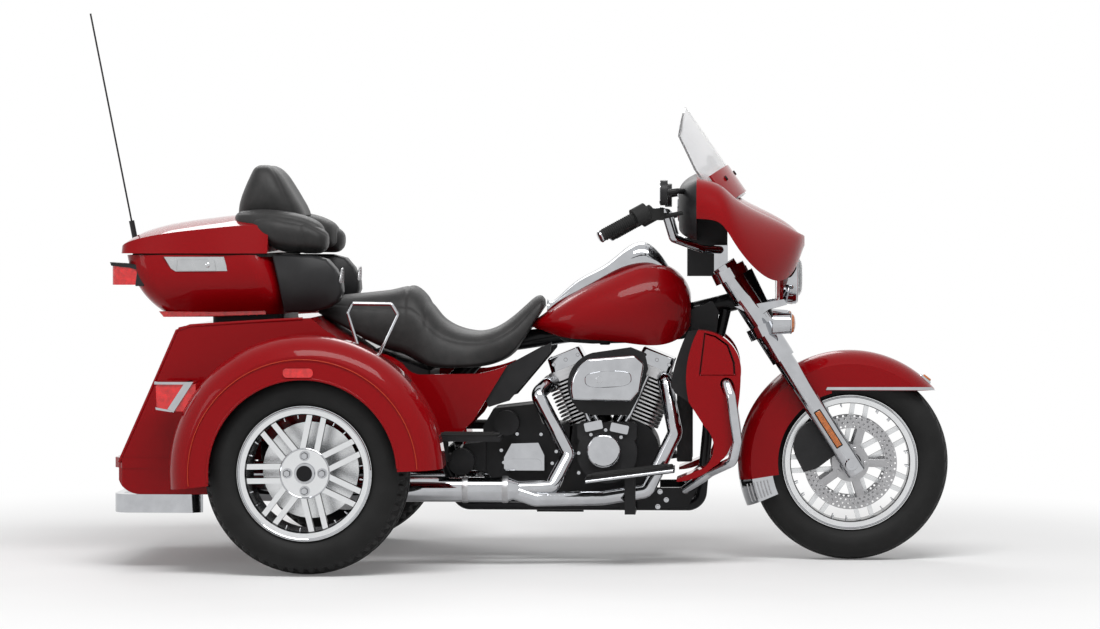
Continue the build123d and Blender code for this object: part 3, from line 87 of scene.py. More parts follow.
def ramp(tree, value, low, high, dark, light):
    """Value from low to high, turned into a colour from dark to light."""
    node = tree.nodes.new("ShaderNodeMapRange")
    put(node, {"From Min": low, "From Max": high})
    tree.links.new(value, node.inputs["Value"])
    mix = tree.nodes.new("ShaderNodeMix")
    mix.data_type = "RGBA"
    mix.inputs[6].default_value = (*dark, 1)
    mix.inputs[7].default_value = (*light, 1)
    tree.links.new(node.outputs["Result"], mix.inputs["Factor"])
    return mix.outputs[2]


def spread(tree, value, low, high):
    """Value from 0..1 turned into a number from low to high."""
    node = tree.nodes.new("ShaderNodeMapRange")
    put(node, {"To Min": low, "To Max": high})
    tree.links.new(value, node.inputs["Value"])
    return node.outputs["Result"]


def bump(tree, shader, height, strength, distance):
    """Bump on the shader from a height value."""
    node = tree.nodes.new("ShaderNodeBump")
    put(node, {"Strength": strength, "Distance": distance})
    tree.links.new(height, node.inputs["Height"])
    tree.links.new(node.outputs["Normal"], shader.inputs["Normal"])


def paint(name, dark, light):
    """Sprayed enamel under clear coat, with fine flake and faint orange peel."""
    material, tree, shader = new_material(name)
    flake = noise(tree, 1400, 1)
    tree.links.new(ramp(tree, flake, 0.3, 0.7, dark, light), shader.inputs["Base Color"])
    put(shader, {"Roughness": 0.38, "Specular IOR Level": 0.05})
    put(shader, {"Coat Weight": 1.0, "Coat Roughness": 0.03, "Coat IOR": 1.2})
    bump(tree, shader, noise(tree, 160, 2), 0.03, 0.0006)
    return material


def bright_metal(name, colour, rough, vary, stretch=(1, 1, 1), grain=0.0):
    """Bare or plated metal whose polish varies a little; grain adds fine machining."""
    material, tree, shader = new_material(name)
    put(shader, {"Metallic": 1.0})
    cloud = noise(tree, 26, 4)
    tone = tuple(c * 0.86 for c in colour)
    tree.links.new(ramp(tree, cloud, 0.25, 0.75, tone, colour), shader.inputs["Base Color"])
    tree.links.new(spread(tree, cloud, rough, rough + vary), shader.inputs["Roughness"])
    if grain:
        bump(tree, shader, noise(tree, 900, 2, stretch), grain, 0.0005)
    return material


def dull(name, dark, light, rough, cells, strength, depth):
    """Moulded plastic, rubber or crackle paint with an even fine texture."""
    material, tree, shader = new_material(name)
    patch = noise(tree, 14, 4)
    tree.links.new(ramp(tree, patch, 0.3, 0.7, dark, light), shader.inputs["Base Color"])
    tree.links.new(spread(tree, patch, rough - 0.06, rough + 0.08), shader.inputs["Roughness"])
    put(shader, {"Specular IOR Level": 0.22})
    bump(tree, shader, noise(tree, cells, 3), strength, depth)
    return material


def leather(name, dark, light):
    """Grained seat cover: pebbled cells with soft creases between them."""
    material, tree, shader = new_material(name)
    cells = tree.nodes.new("ShaderNodeTexVoronoi")
    put(cells, {"Scale": 520})
    tree.links.new(coords(tree), cells.inputs["Vector"])
    tone = noise(tree, 30, 5)
    tree.links.new(ramp(tree, tone, 0.3, 0.75, dark, light), shader.inputs["Base Color"])
    tree.links.new(spread(tree, cells.outputs["Distance"], 0.38, 0.62), shader.inputs["Roughness"])
    put(shader, {"Specular IOR Level": 0.3, "Sheen Weight": 0.04})
    bump(tree, shader, cells.outputs["Distance"], 0.35, 0.0006)
    return material


ACRYLIC_IOR = 1.49


def lens(name, colour, rough, transmission):
    """Moulded lamp lens with fine flutes."""
    material, tree, shader = new_material(name)
    tint = tuple(c * 0.6 for c in colour)
    tree.links.new(ramp(tree, noise(tree, 60, 2), 0.3, 0.7, tint, colour), shader.inputs["Base Color"])
    put(shader, {"Roughness": rough, "Coat Weight": 0.6})
    put(shader, {"Transmission Weight": transmission, "IOR": ACRYLIC_IOR})
    wave = tree.nodes.new("ShaderNodeTexWave")
    put(wave, {"Scale": 60})
    wave.bands_direction = "Y"
    tree.links.new(coords(tree), wave.inputs["Vector"])
    bump(tree, shader, wave.outputs["Fac"], 0.15, 0.001)
    return material


def smoked_sheet(name):
    """Smoked acrylic sheet."""
    material, tree, shader = new_material(name)
    shade = ramp(tree, noise(tree, 3, 1), 0.3, 0.7, (0.84, 0.84, 0.85), (0.90, 0.90, 0.91))
    tree.links.new(shade, shader.inputs["Base Color"])
    put(shader, {"Roughness": 0.03, "Transmission Weight": 0.92, "IOR": ACRYLIC_IOR})
    return material


RED = paint("red_enamel", (0.21, 0.0005, 0.002), (0.30, 0.001, 0.004))
# Lighter red-orange than the body paint: a painted highlight for the crease line on the rear fenders.
CREASE_HIGHLIGHT_PAINT = paint("painted_crease_highlight", (0.40, 0.035, 0.012), (0.50, 0.05, 0.02))
BLACK = paint("black_enamel", (0.006, 0.006, 0.007), (0.012, 0.012, 0.013))
PLASTIC = dull("black_moulding", (0.010, 0.010, 0.011), (0.018, 0.018, 0.019), 0.42, 900, 0.25, 0.0006)
CRACKLE = dull("crackle_black", (0.012, 0.012, 0.013), (0.022, 0.022, 0.023), 0.48, 420, 0.55, 0.0008)
RUBBER = dull("black_rubber", (0.010, 0.010, 0.010), (0.020, 0.020, 0.020), 0.72, 600, 0.30, 0.0005)
TYRE = dull("tyre_rubber", (0.006, 0.006, 0.006), (0.012, 0.012, 0.012), 0.60, 260, 0.35, 0.0008)
CHROME = bright_metal("chrome", (0.50, 0.51, 0.53), 0.035, 0.05)
ALLOY = bright_metal("machined_alloy", (0.52, 0.53, 0.54), 0.20, 0.12, (1, 6, 1), 0.18)
STEEL = bright_metal("brushed_steel", (0.42, 0.42, 0.43), 0.28, 0.14, (1, 8, 1), 0.22)
LEATHER = leather("seat_leather", (0.010, 0.010, 0.010), (0.022, 0.021, 0.021))
SMOKE = smoked_sheet("smoked_screen")
LENS_RED = lens("red_lens", (0.85, 0.008, 0.010), 0.12, 0.10)
LENS_CLEAR = lens("clear_lens", (0.80, 0.82, 0.84), 0.06, 0.55)
LENS_AMBER = lens("amber_lens", (0.85, 0.22, 0.02), 0.10, 0.35)


def math_node(tree, operation, a, b=0.0):
    """One arithmetic node; an input is a socket or a number."""
    node = tree.nodes.new("ShaderNodeMath")
    node.operation = operation
    for socket, value in zip(node.inputs, (a, b)):
        if isinstance(value, (int, float)):
            socket.default_value = value
        else:
            tree.links.new(value, socket)
    return node.outputs[0]


CAST_BLACK = (0.012, 0.012, 0.013)


def two_tone_rim(name):
    """Cast wheel: machined where a face looks along the axle, black in its pockets."""
    material, tree, shader = new_material(name)
    source = tree.nodes.new("ShaderNodeTexCoord")
    split = tree.nodes.new("ShaderNodeSeparateXYZ")
    tree.links.new(source.outputs["Normal"], split.inputs[0])
    flat = math_node(tree, "ABSOLUTE", split.outputs["Y"])
    faced = math_node(tree, "GREATER_THAN", flat, 0.8)
    tone = ramp(tree, faced, 0, 1, CAST_BLACK, (0.70, 0.71, 0.72))
    tree.links.new(tone, shader.inputs["Base Color"])
    tree.links.new(faced, shader.inputs["Metallic"])
    tree.links.new(spread(tree, noise(tree, 40, 3), 0.16, 0.30), shader.inputs["Roughness"])
    bump(tree, shader, noise(tree, 700, 2), 0.05, 0.0004)
    return material


RIM = two_tone_rim("cast_rim")
MIRROR = bright_metal("mirror_glass", (0.90, 0.91, 0.93), 0.01, 0.01)


def finned_alloy(name, crank, bank, half_x, half_y):
    """Black cylinders whose fins are machined bright along their outer edges."""
    material, tree, shader = new_material(name)
    place = tree.nodes.new("ShaderNodeSeparateXYZ")
    tree.links.new(coords(tree), place.inputs[0])
    ahead = math_node(tree, "ABSOLUTE", math_node(tree, "SUBTRACT", place.outputs["X"], crank.x))
    above = math_node(tree, "SUBTRACT", place.outputs["Z"], crank.z)
    ahead = math_node(tree, "MULTIPLY", ahead, cos(bank))
    above = math_node(tree, "MULTIPLY", above, sin(bank))
    across = math_node(tree, "SUBTRACT", ahead, above)
    reach = []
    for value, half in ((across, half_x), (place.outputs["Y"], half_y)):
        share = math_node(tree, "ABSOLUTE", math_node(tree, "DIVIDE", value, half))
        reach.append(math_node(tree, "POWER", share, 4.0))
    edge = math_node(tree, "GREATER_THAN", math_node(tree, "ADD", *reach), 0.90)
    tone = ramp(tree, edge, 0, 1, CAST_BLACK, (0.62, 0.62, 0.63))
    tree.links.new(tone, shader.inputs["Base Color"])
    tree.links.new(edge, shader.inputs["Metallic"])
    tree.links.new(spread(tree, noise(tree, 60, 3), 0.30, 0.48), shader.inputs["Roughness"])
    bump(tree, shader, noise(tree, 500, 3), 0.25, 0.0005)
    return material


CRANK_X, CRANK_Z = 922, 292  # ahead of the rear axle and above the ground, in millimetres
BANK = radians(22.5)
CRANK_AT = Vector((REAR_X + CRANK_X * MM, 0.0, CRANK_Z * MM))
FINNED = finned_alloy("finned_alloy", CRANK_AT, BANK, 0.088, 0.092)

NODE_MATERIALS = {
    "red_paint": RED,
    "black_paint": BLACK,
    "black_plastic": PLASTIC,
    "chrome": CHROME,
    "cast_black": CRACKLE,
    "bare_alloy": RIM,
    "steel": STEEL,
    "tyre": TYRE,
    "rubber": RUBBER,
    "seat_cover": LEATHER,
    "smoke_screen": SMOKE,
    "lamp_red": LENS_RED,
    "lamp_clear": LENS_CLEAR,
}
# Nodes finished apart from their slot
NODE_FINISHES = {"cylinders": FINNED, "passenger_boards": PLASTIC, "rider_boards": PLASTIC}
for row in frame["record"]["subparts"]:
    mesh = frame["nodes"][row["node"]].data
    mesh.materials.clear()
    mesh.materials.append(NODE_FINISHES.get(row["node"], NODE_MATERIALS[row["material_slot"]]))


# Mesh helpers

def rear(x, y, z):
    """A point in millimetres ahead of the rear axle, left of the centre plane and above the ground."""
    return Vector((REAR_X + x * MM, y * MM, z * MM))


def front(x, y, z):
    """A point in millimetres ahead of the front axle, left of the centre plane and above the ground."""
    return Vector((FRONT_X + x * MM, y * MM, z * MM))


def show(name, data):
    """An object of some data, linked into the scene."""
    obj = bpy.data.objects.new(name, data)
    bpy.context.scene.collection.objects.link(obj)
    return obj


def piece(name, bm, body, material, angle=35):
    """A finished mesh as a named piece that rides on a body."""
    mesh = bpy.data.meshes.new(name)
    bmesh.ops.recalc_face_normals(bm, faces=bm.faces)
    bm.to_mesh(mesh)
    bm.free()
    mesh.materials.append(material)
    mesh.polygons.foreach_set("use_smooth", [True] * len(mesh.polygons))
    mesh.set_sharp_from_angle(angle=radians(angle))
    obj = show(name, mesh)
    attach(obj, body)
    return obj


def bridge(bm, low, high):
    """Faces between two closed rings; a ring of one vertex closes to a point."""
    count = max(len(low), len(high))
    for i in range(count):
        j = (i + 1) % count
        if len(low) == 1:
            bm.faces.new((low[0], high[j], high[i]))
        elif len(high) == 1:
            bm.faces.new((low[i], low[j], high[0]))
        else:
            bm.faces.new((low[i], low[j], high[j], high[i]))


def skin(bm, rings, closed=False):
    """A skin over a chain of rings of points, capped at both ends unless it closes on itself."""
    made = [[bm.verts.new(p) for p in ring] for ring in rings]
    for low, high in zip(made, made[1:]):
        bridge(bm, low, high)
    if closed:
        bridge(bm, made[-1], made[0])
        return
    for ring in (made[0], made[-1]):
        if len(ring) > 2:
            bm.faces.new(ring)


def circle(steps):
    """Cosine and sine of even steps round a circle."""
    return [(cos(2 * pi * i / steps), sin(2 * pi * i / steps)) for i in range(steps)]


def signed_power(value, power):
    """A power of a value's size, with the value's sign."""
    return (1 if value >= 0 else -1) * abs(value) ** power


def lathe(bm, profile, centre, axis, steps=32):
    """Turns (radius, along) points in millimetres about an axis through a centre."""
    turn = Vector(axis).to_track_quat("Z", "X").to_matrix()
    rings = []
    for r, along in profile:
        ways = circle(steps) if r else [(1.0, 0.0)]
        rings.append([centre + turn @ Vector((r * c, r * s, along)) * MM for c, s in ways])
    skin(bm, rings)


def curve_points(points, count):
    """Points along a smooth curve through the given ones."""
    made = []
    last = len(points) - 1
    for k in range(count + 1):
        t = k * last / count
        i = min(int(t), last - 1)
        u = t - i
        p0, p1, p2, p3 = (points[max(0, min(last, i + d))] for d in (-1, 0, 1, 2))
        row = []
        for a, b, c, d in zip(p0, p1, p2, p3):
            square, cube = 2 * a - 5 * b + 4 * c - d, 3 * b - a - 3 * c + d
            row.append(0.5 * (2 * b + (c - a) * u + square * u**2 + cube * u**3))
        made.append(tuple(row))
    return made


def pipe(bm, points, radius, steps=12):
    """A round bar of a radius in millimetres along a chain of points."""
    points = [Vector(p) for p in points]
    side = None
    rings = []
    for i, p in enumerate(points):
        ahead = (points[min(i + 1, len(points) - 1)] - points[max(i - 1, 0)]).normalized()
        if side is None:
            side = ahead.orthogonal().normalized()
        side = (side - ahead * side.dot(ahead)).normalized()
        other = ahead.cross(side)
        rings.append([p + (side * c + other * s) * radius * MM for c, s in circle(steps)])
    skin(bm, rings)


def hoop(bm, centre, axis, radius, wire, steps=48, sides=10):
    """A ring of round wire; millimetres."""
    turn = Vector(axis).to_track_quat("Z", "X").to_matrix()
    rings = []
    for ca, sa in circle(steps):
        ring = []
        for cb, sb in circle(sides):
            r = radius + wire * cb
            ring.append(centre + turn @ Vector((r * ca, r * sa, wire * sb)) * MM)
        rings.append(ring)
    skin(bm, rings, closed=True)


def block(bm, centre, size, edge, turn=None):
    """A box with bevelled edges, made apart so that the order of points is fixed; millimetres."""
    box = bmesh.new()
    bmesh.ops.create_cube(box, size=1.0)
    scale = Matrix.Diagonal(Vector(size) * MM).to_4x4()
    place = Matrix.Translation(centre) @ (turn.to_4x4() if turn else Matrix.Identity(4)) @ scale
    bmesh.ops.transform(box, matrix=place, verts=list(box.verts))
    edges = list(box.edges)
    bmesh.ops.bevel(box, geom=edges, offset=edge * MM, segments=3, affect="EDGES", profile=0.5)
    made = {v: bm.verts.new(v.co) for v in box.verts}
    for face in box.faces:
        bm.faces.new([made[v] for v in face.verts])
    box.free()


def bolt(bm, centre, axis, radius, height):
    """A hexagon head with a turned rim and a washer."""
    r, washer, low = radius, radius * 1.35, height * 0.2
    lathe(bm, ((0, 0), (washer, 0), (washer, low), (0, low)), centre, axis, 20)
    head = ((0, low), (r, low), (r, height * 0.85), (r * 0.82, height), (0, height))
    lathe(bm, head, centre, axis, 6)


def cap_screw(bm, centre, axis, radius, height):
    """A round socket screw with its recess."""
    r, hole, floor_at = radius, radius * 0.5, height * 0.45
    rim = ((0, 0), (r, 0), (r, height * 0.8), (r * 0.85, height))
    lathe(bm, (*rim, (hole, height), (hole, floor_at), (0, floor_at)), centre, axis, 16)


# Tyres

TREAD_COLUMNS = 41
TREAD_STEPS = 300
WALL_COLUMNS = 12
RIDGE, RIDGE_AT = 1.2, (2, 8)  # height of the wall's ridges and the columns they are on


def front_groove(turn, across):
    """Share of the full groove depth on the front tyre: swept chevrons and a centre line."""
    phase = (turn * 44 + 2.2 * abs(across) + (0.5 if across > 0 else 0)) % 1.0
    chevron = phase < 0.24 and 0.16 < abs(across) < 0.94
    return 1.0 if chevron or abs(across) < 0.05 else 0.0


def rear_groove(turn, across):
    """Share of the full groove depth on a rear tyre: four ribs, tie bars and shoulder blocks."""
    rib = abs(abs(across) - 0.22) < 0.05 or abs(abs(across) - 0.62) < 0.05
    shoulder = (turn * 60) % 1.0 < 0.26 and abs(across) > 0.72
    tie = (turn * 60 + across) % 1.0 < 0.18 and 0.27 < abs(across) < 0.57
    return 1.0 if rib or shoulder else 0.6 if tie else 0.0


def arc_through(a, b, c, share):
    """A point of the circle arc from a over b to c."""
    (ax, ay), (bx, by), (cx, cy) = a, b, c
    d = 2 * (ax * (by - cy) + bx * (cy - ay) + cx * (ay - by))
    ux = ((ax**2 + ay**2) * (by - cy) + (bx**2 + by**2) * (cy - ay) + (cx**2 + cy**2) * (ay - by)) / d
    uy = ((ax**2 + ay**2) * (cx - bx) + (bx**2 + by**2) * (ax - cx) + (cx**2 + cy**2) * (bx - ax)) / d
    r = ((ax - ux) ** 2 + (ay - uy) ** 2) ** 0.5
    start = atan2(ay - uy, ax - ux)
    sweep = atan2(cy - uy, cx - ux) - start
    sweep = (sweep + pi) % (2 * pi) - pi
    return ux + r * cos(start + share * sweep), uy + r * sin(start + share * sweep)


def tyre(name, node, body, centre, r, width, bead_half, r_seat, r_lip, groove, depth):
    """A moulded tyre in place of its plain solid: tread, shoulder, ribbed side walls and beads."""
    shoulder = (0.40 * width, r - 0.10 * width)
    waist = (width / 2, (r_lip + 1 + shoulder[1]) / 2)
    bead = (bead_half, r_lip + 1)
    profile = [(-bead_half, r_seat, None)]
    left = [(-y, radius) for y, radius in (bead, waist, shoulder)]
    for k in range(WALL_COLUMNS):
        y, radius = arc_through(*left, k / WALL_COLUMNS)
        profile.append((y + (RIDGE if k in RIDGE_AT else 0.0), radius, None))
    for k in range(TREAD_COLUMNS + 1):
        across = 2 * k / TREAD_COLUMNS - 1
        y, radius = arc_through((-shoulder[0], shoulder[1]), (0, r), shoulder, k / TREAD_COLUMNS)
        profile.append((y, radius, across))
    for k in range(WALL_COLUMNS - 1, -1, -1):
        y, radius = arc_through(bead, waist, shoulder, k / WALL_COLUMNS)
        profile.append((y - (RIDGE if k in RIDGE_AT else 0.0), radius, None))
    profile.append((bead_half, r_seat, None))
    bm = bmesh.new()
    rings = []
    for i in range(TREAD_STEPS):
        turn = i / TREAD_STEPS
        ring = []
        for y, radius, across in profile:
            if across is not None:
                radius -= depth * groove(turn, across)
            a = 2 * pi * turn
            ring.append(centre + Vector((radius * cos(a), y, radius * sin(a))) * MM)
        rings.append(ring)
    skin(bm, rings, closed=True)
    made = piece(name, bm, body, TYRE, 30)
    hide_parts(node)


# Radius, width, bead half width, bead seat, rim lip, grooves and their depth
FRONT_TYRE = (316, 130, 45, 200, 217, front_groove, 4.5)
REAR_TYRE = (318, 205, 84, 190, 208, rear_groove, 6)
REAR_TYRE_Y = 557

tyre("tread_front", "front_tyre", "front_wheel", FRONT_AXLE, *FRONT_TYRE)
for side, s in SIDES:
    hub = rear(0, s * REAR_TYRE_Y, REAR_Z)
    tyre("tread_rear_" + side, "rear_tyre_" + side, "rear_wheel_" + side, hub, *REAR_TYRE)


# Seat and backrest

def dome_ring(x, half, top, low, dish, square, count, place):
    """A padded cross-section: a squared dome, dished in the middle."""
    ring = []
    for k in range(count):
        a = pi * k / (count - 1)
        c, s = cos(a), sin(a)
        y = half * signed_power(c, 2 / square)
        z = low + (top - low) * s ** (2 / square)
        z -= dish * max(0.0, 1 - (y / (0.8 * half)) ** 2) ** 2
        ring.append(place(x, y, z))
    return ring


SEAT_ROWS = (
    # ahead of the rear axle, half width, top, lower edge, dish, squareness
    (-20, 132, 828, 796, 0, 2.4),
    (-12, 146, 844, 790, 2, 2.6),
    (40, 168, 856, 762, 4, 2.8),
    (120, 178, 867, 714, 7, 3.0),
    (200, 184, 877, 676, 8, 3.0),
    (252, 188, 887, 660, 6, 3.0),
    (282, 192, 886, 646, 4, 3.0),
    (312, 198, 866, 630, 8, 2.9),
    (340, 203, 832, 620, 16, 2.7),
    (372, 205, 794, 617, 18, 2.6),
    (410, 205, 768, 617, 16, 2.6),
    (452, 203, 751, 619, 12, 2.7),
    (500, 188, 744, 622, 8, 2.8),
    (553, 157, 757, 634, 4, 2.6),
    (600, 126, 786, 660, 2, 2.5),
    (640, 104, 820, 712, 1, 2.4),
    (672, 90, 847, 766, 0, 2.3),
    (692, 80, 852, 798, 0, 2.3),
    (704, 66, 840, 816, 0, 2.2),
)
SEAT_COUNT = 61  # points of a section
SEAT_STEPS = 110
CHANNELS = (262, 330)  # sewn across the seat, ahead of the rear axle
CHANNEL_DEPTH, CHANNEL_HALF = 5.0, 8.0
SEAM_AT = (11, 49)  # points of a section where the top panel is sewn to the sides
SEAM_DEPTH = 3.5


def sewn(ring, depth, at):
    """Draws the points of a sewn line in towards the section's middle."""
    middle = sum(ring, Vector()) / len(ring)
    for k in at:
        ring[k] = ring[k] + (middle - ring[k]).normalized() * depth * MM
    return ring


def upholstered(name, bm, body, node):
    """A rounded and stuffed leather piece in place of a node."""
    made = piece(name, bm, body, LEATHER, 50)
    made.modifiers.new("round", "SUBSURF").render_levels = 1
    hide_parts(node)


def seat_cover():
    """The dual seat, from its rows, with seams and channels drawn in."""
    bm = bmesh.new()
    rings = []
    for row in curve_points(SEAT_ROWS, SEAT_STEPS):
        x, half, top, low, dish, square = row
        for at in CHANNELS:
            top -= CHANNEL_DEPTH * max(0.0, 1 - abs(x - at) / CHANNEL_HALF)
        ring = dome_ring(x, half, top, low, dish, square, SEAT_COUNT, rear)
        rings.append(sewn(ring, SEAM_DEPTH, SEAM_AT))
    skin(bm, rings)
    upholstered("seat_cover", bm, "chassis", "seat")


def puff_ring(x, y_near, y_far, low, top, count, place):
    """A section of a stuffed roll: a squared oval."""
    ring = []
    half, high = (y_far - y_near) / 2, (top - low) / 2
    for c, s in circle(count):
        y = (y_near + y_far) / 2 + half * signed_power(c, 0.75)
        z = (top + low) / 2 + high * signed_power(s, 0.8)
        ring.append(place(x, y, z))
    return ring


BACK_ROWS = (
    # height, rear x, front x, half width
    (1108, -262, -82, 150),
    (1112, -286, -64, 168),
    (1140, -286, -74, 176),
    (1170, -278, -92, 178),
    (1205, -264, -114, 172),
    (1240, -248, -138, 158),
    (1262, -236, -160, 140),
    (1272, -222, -178, 112),
    (1274, -208, -190, 84),
)
WING_ROWS = (
    # ahead of the rear axle, near and far side, lower and upper edge
    (-216, 196, 250, 1066, 1094),
    (-200, 172, 280, 1050, 1106),
    (-150, 152, 296, 1006, 1112),
    (-90, 148, 297, 990, 1104),
    (-40, 150, 296, 989, 1094),
    (0, 160, 290, 990, 1072),
    (18, 178, 272, 1002, 1058),
    (25, 200, 250, 1016, 1046),
)
WRAP_ROWS = (
    # the same, for the layer between the rolls and the back pad
    (-284, 110, 170, 1090, 1110),
    (-262, 84, 236, 1062, 1124),
    (-200, 78, 270, 1036, 1130),
    (-130, 78, 284, 1020, 1126),
    (-60, 88, 286, 1008, 1112),
    (-14, 108, 276, 1006, 1092),
    (6, 150, 250, 1018, 1072),
)


def backrest_cover():
    """The passenger's back pad, and a roll and a wrap at each of its sides."""
    bm = bmesh.new()
    rings = []
    for z, x_rear, x_front, half in curve_points(BACK_ROWS, 44):
        ring = []
        for c, s in circle(60):
            x = (x_rear + x_front) / 2 + (x_front - x_rear) / 2 * signed_power(c, 0.7)
            y = half * signed_power(s, 0.6)
            if c > 0:
                x -= 10 * max(0.0, 1 - (y / (0.75 * half)) ** 2) ** 2
            ring.append(rear(x, y, z))
        rings.append(sewn(ring, 3.0, (9, 51)))
    skin(bm, rings)
    upholstered("backrest_cover", bm, "case_lid", "backrest")
    for name, rows in (("backrest_roll_", WING_ROWS), ("backrest_wrap_", WRAP_ROWS)):
        for side, s in SIDES:
            bm = bmesh.new()
            rings = []
            for x, near, far, low, top in curve_points(rows, 48):
                pinch = 4.0 * max(0.0, 1 - abs(x + 60) / 8.0) if rows is WING_ROWS else 0.0
                edges = (near + pinch, far - pinch, low + pinch, top - pinch)
                ring = puff_ring(x, *edges, 40, lambda x, y, z: rear(x, s * y, z))
                rings.append(sewn(ring, 2.5, (5, 35)))
            skin(bm, rings)
            upholstered(name + side, bm, "case_lid", "backrest")


seat_cover()
backrest_cover()


# Wheels

def perforated_ring(bm, centre, r_in, r_out, bands, count, hole, half_t, axis_y):
    """A drilled brake rotor: bands of holes, staggered, through a flat ring square to Y."""
    offsets = ((1, 0), (1, 1), (0, 1), (-1, 1), (-1, 0), (-1, -1), (0, -1), (1, -1))
    width = (r_out - r_in) / bands
    layers = []
    for y in (axis_y - half_t, axis_y + half_t):
        grid = {}

        def at(radius, share):
            key = (round(radius, 3), round(share % 1.0, 6))
            if key not in grid:
                a = 2 * pi * share
                grid[key] = bm.verts.new(centre + Vector((radius * cos(a), y, radius * sin(a))) * MM)
            return grid[key]

        rims = []
        for band in range(bands):
            middle = r_in + (band + 0.5) * width
            for i in range(count):
                share = (i + 0.5 * (band % 2)) / count
                outer = [at(middle + dr * width / 2, share + da * 0.5 / count) for dr, da in offsets]
                inner = []
                c, s = cos(2 * pi * share), sin(2 * pi * share)
                for dr, da in offsets:
                    a = atan2(da, dr)
                    u, v = middle + hole * cos(a), hole * sin(a)
                    spot = Vector((u * c - v * s, y, u * s + v * c))
                    inner.append(bm.verts.new(centre + spot * MM))
                bridge(bm, outer, inner)
                rims.append(inner)
        layers.append((grid, rims))
    (low, low_rims), (high, high_rims) = layers
    for a, b in zip(low_rims, high_rims):
        bridge(bm, a, b)
    for radius in (r_in, r_out):
        keys = sorted((k for k in low if abs(k[0] - radius) < 0.01), key=lambda k: k[1])
        bridge(bm, [low[k] for k in keys], [high[k] for k in keys])


def rotor_pair():
    """Both front rotors with their carriers, in place of the plain discs."""
    bm = bmesh.new()
    for _, s in SIDES:
        y = s * 75.5
        perforated_ring(bm, FRONT_AXLE, 112, 149, 3, 48, 3.6, 2.5, y)
        hub = front(0, y, FRONT_Z)
        carrier = ((35, -2.5), (60, -2.5), (60, 2.5), (35, 2.5), (35, -2.5))
        lathe(bm, carrier, hub, (0, 1, 0), 60)
        for k in range(5):
            turn = Matrix.Rotation(-2 * pi * k / 5, 3, "Y")
            block(bm, hub + turn @ Vector((86, 0, 0)) * MM, (58, 4.4, 26), 1.0, turn)
            tip = hub + turn @ Vector((113, 0, 0)) * MM
            lathe(bm, ((0, -3.4), (7, -3.4), (7, 3.4), (0, 3.4)), tip, (0, 1, 0), 20)
            nut = front(0, y + s * 2.2, FRONT_Z) + turn @ Vector((47, 0, 0)) * MM
            bolt(bm, nut, (0, s, 0), 6.5, 5)
    made = piece("front_rotors", bm, "front_wheel", STEEL)
    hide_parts("front_discs")


rotor_pair()


def rim_ticks(bm, centre, radius, first):
    """Two short bright ribs inside the rim, in each gap between spoke pairs."""
    for gap in range(7):
        for shift in (-7, 7):
            turn = Matrix.Rotation(-radians(first + (gap + 0.5) * 360 / 7 + shift), 3, "Y")
            block(bm, centre + turn @ Vector((radius, 0, 0)) * MM, (16, 10, 4), 1.0, turn)


VALVE_STEM = ((-150, 560, 218), (-146, 600, 221), (-142, 632, 224))


def wheel_trim():
    """Lug nuts, hub caps, valve stems and rim steps."""
    for side, s in SIDES:
        face = rear(0, s * 633, REAR_Z)
        bm = bmesh.new()
        for k in range(4):
            a = pi / 2 * k
            bolt(bm, face + Vector((54 * cos(a), 0, 54 * sin(a))) * MM, (0, s, 0), 12, 15)
        cap = ((0, 10), (18, 13.5), (24, 12), (31, 10.5), (33, 4), (33, 0), (29.5, 0), (29.5, 9), (0, 9))
        lathe(bm, cap, face, (0, s, 0), 48)
        hoop(bm, rear(0, s * 634, REAR_Z), (0, 1, 0), 76, 2.4)
        hoop(bm, rear(0, s * 648, REAR_Z), (0, 1, 0), 203, 4.0, 96)
        hoop(bm, rear(0, s * 640, REAR_Z), (0, 1, 0), 190, 2.6, 96)
        rim_ticks(bm, rear(0, s * 627, REAR_Z), 177, 78)
        piece("rear_wheel_trim_" + side, bm, "rear_wheel_" + side, CHROME)
        bm = bmesh.new()
        lathe(bm, ((0, 13.8), (23, 14.8), (24.5, 13.0), (0, 12.4)), face, (0, s, 0), 40)
        pipe(bm, [rear(x, s * y, z) for x, y, z in VALVE_STEM], 5)
        piece("rear_wheel_caps_" + side, bm, "rear_wheel_" + side, BLACK)
    bm = bmesh.new()
    for _, s in SIDES:
        hoop(bm, front(0, s * 50.5, FRONT_Z), (0, 1, 0), 212, 3.4, 96)
        rim_ticks(bm, front(0, s * 36, FRONT_Z), 187, 80)
    piece("front_wheel_trim", bm, "front_wheel", CHROME)


wheel_trim()


# Flat and bent trim

def prism(bm, points, y_near, y_far, place, edge=1.5):
    """A flat piece: an X-Z outline between two distances from the centre plane, its rims bevelled."""
    count = len(points)
    middle = Vector((sum(x for x, _ in points) / count, sum(z for _, z in points) / count))
    step = edge if y_far > y_near else -edge
    rings = []
    for y, inset in ((y_near, edge), (y_near + step, 0), (y_far - step, 0), (y_far, edge)):
        ring = []
        for x, z in points:
            way = (middle - Vector((x, z))).normalized() * inset
            ring.append(place(x + way.x, y, z + way.y))
        rings.append(ring)
    skin(bm, rings)


def oval(x, z, half_x, half_z, square=2.0, count=40, tilt=0.0):
    """A closed outline: an ellipse, squarer for a higher power, tilted nose up by degrees."""
    t = radians(tilt)
    points = []
    for c, s in circle(count):
        u = half_x * signed_power(c, 2 / square)
        v = half_z * signed_power(s, 2 / square)
        points.append((x + u * cos(t) - v * sin(t), z + u * sin(t) + v * cos(t)))
    return points


def arc_xz(x, z, r, start, end, steps):
    """X-Z points of an arc, by degrees above forward."""
    turns = [radians(start + (end - start) * k / steps) for k in range(steps + 1)]
    return [(x + r * cos(a), z + r * sin(a)) for a in turns]


def rotated(axis, degrees):
    """A turn about a world axis."""
    return Matrix.Rotation(radians(degrees), 3, axis)


# Body: rolled edges, lamp frames, case and trunk furniture

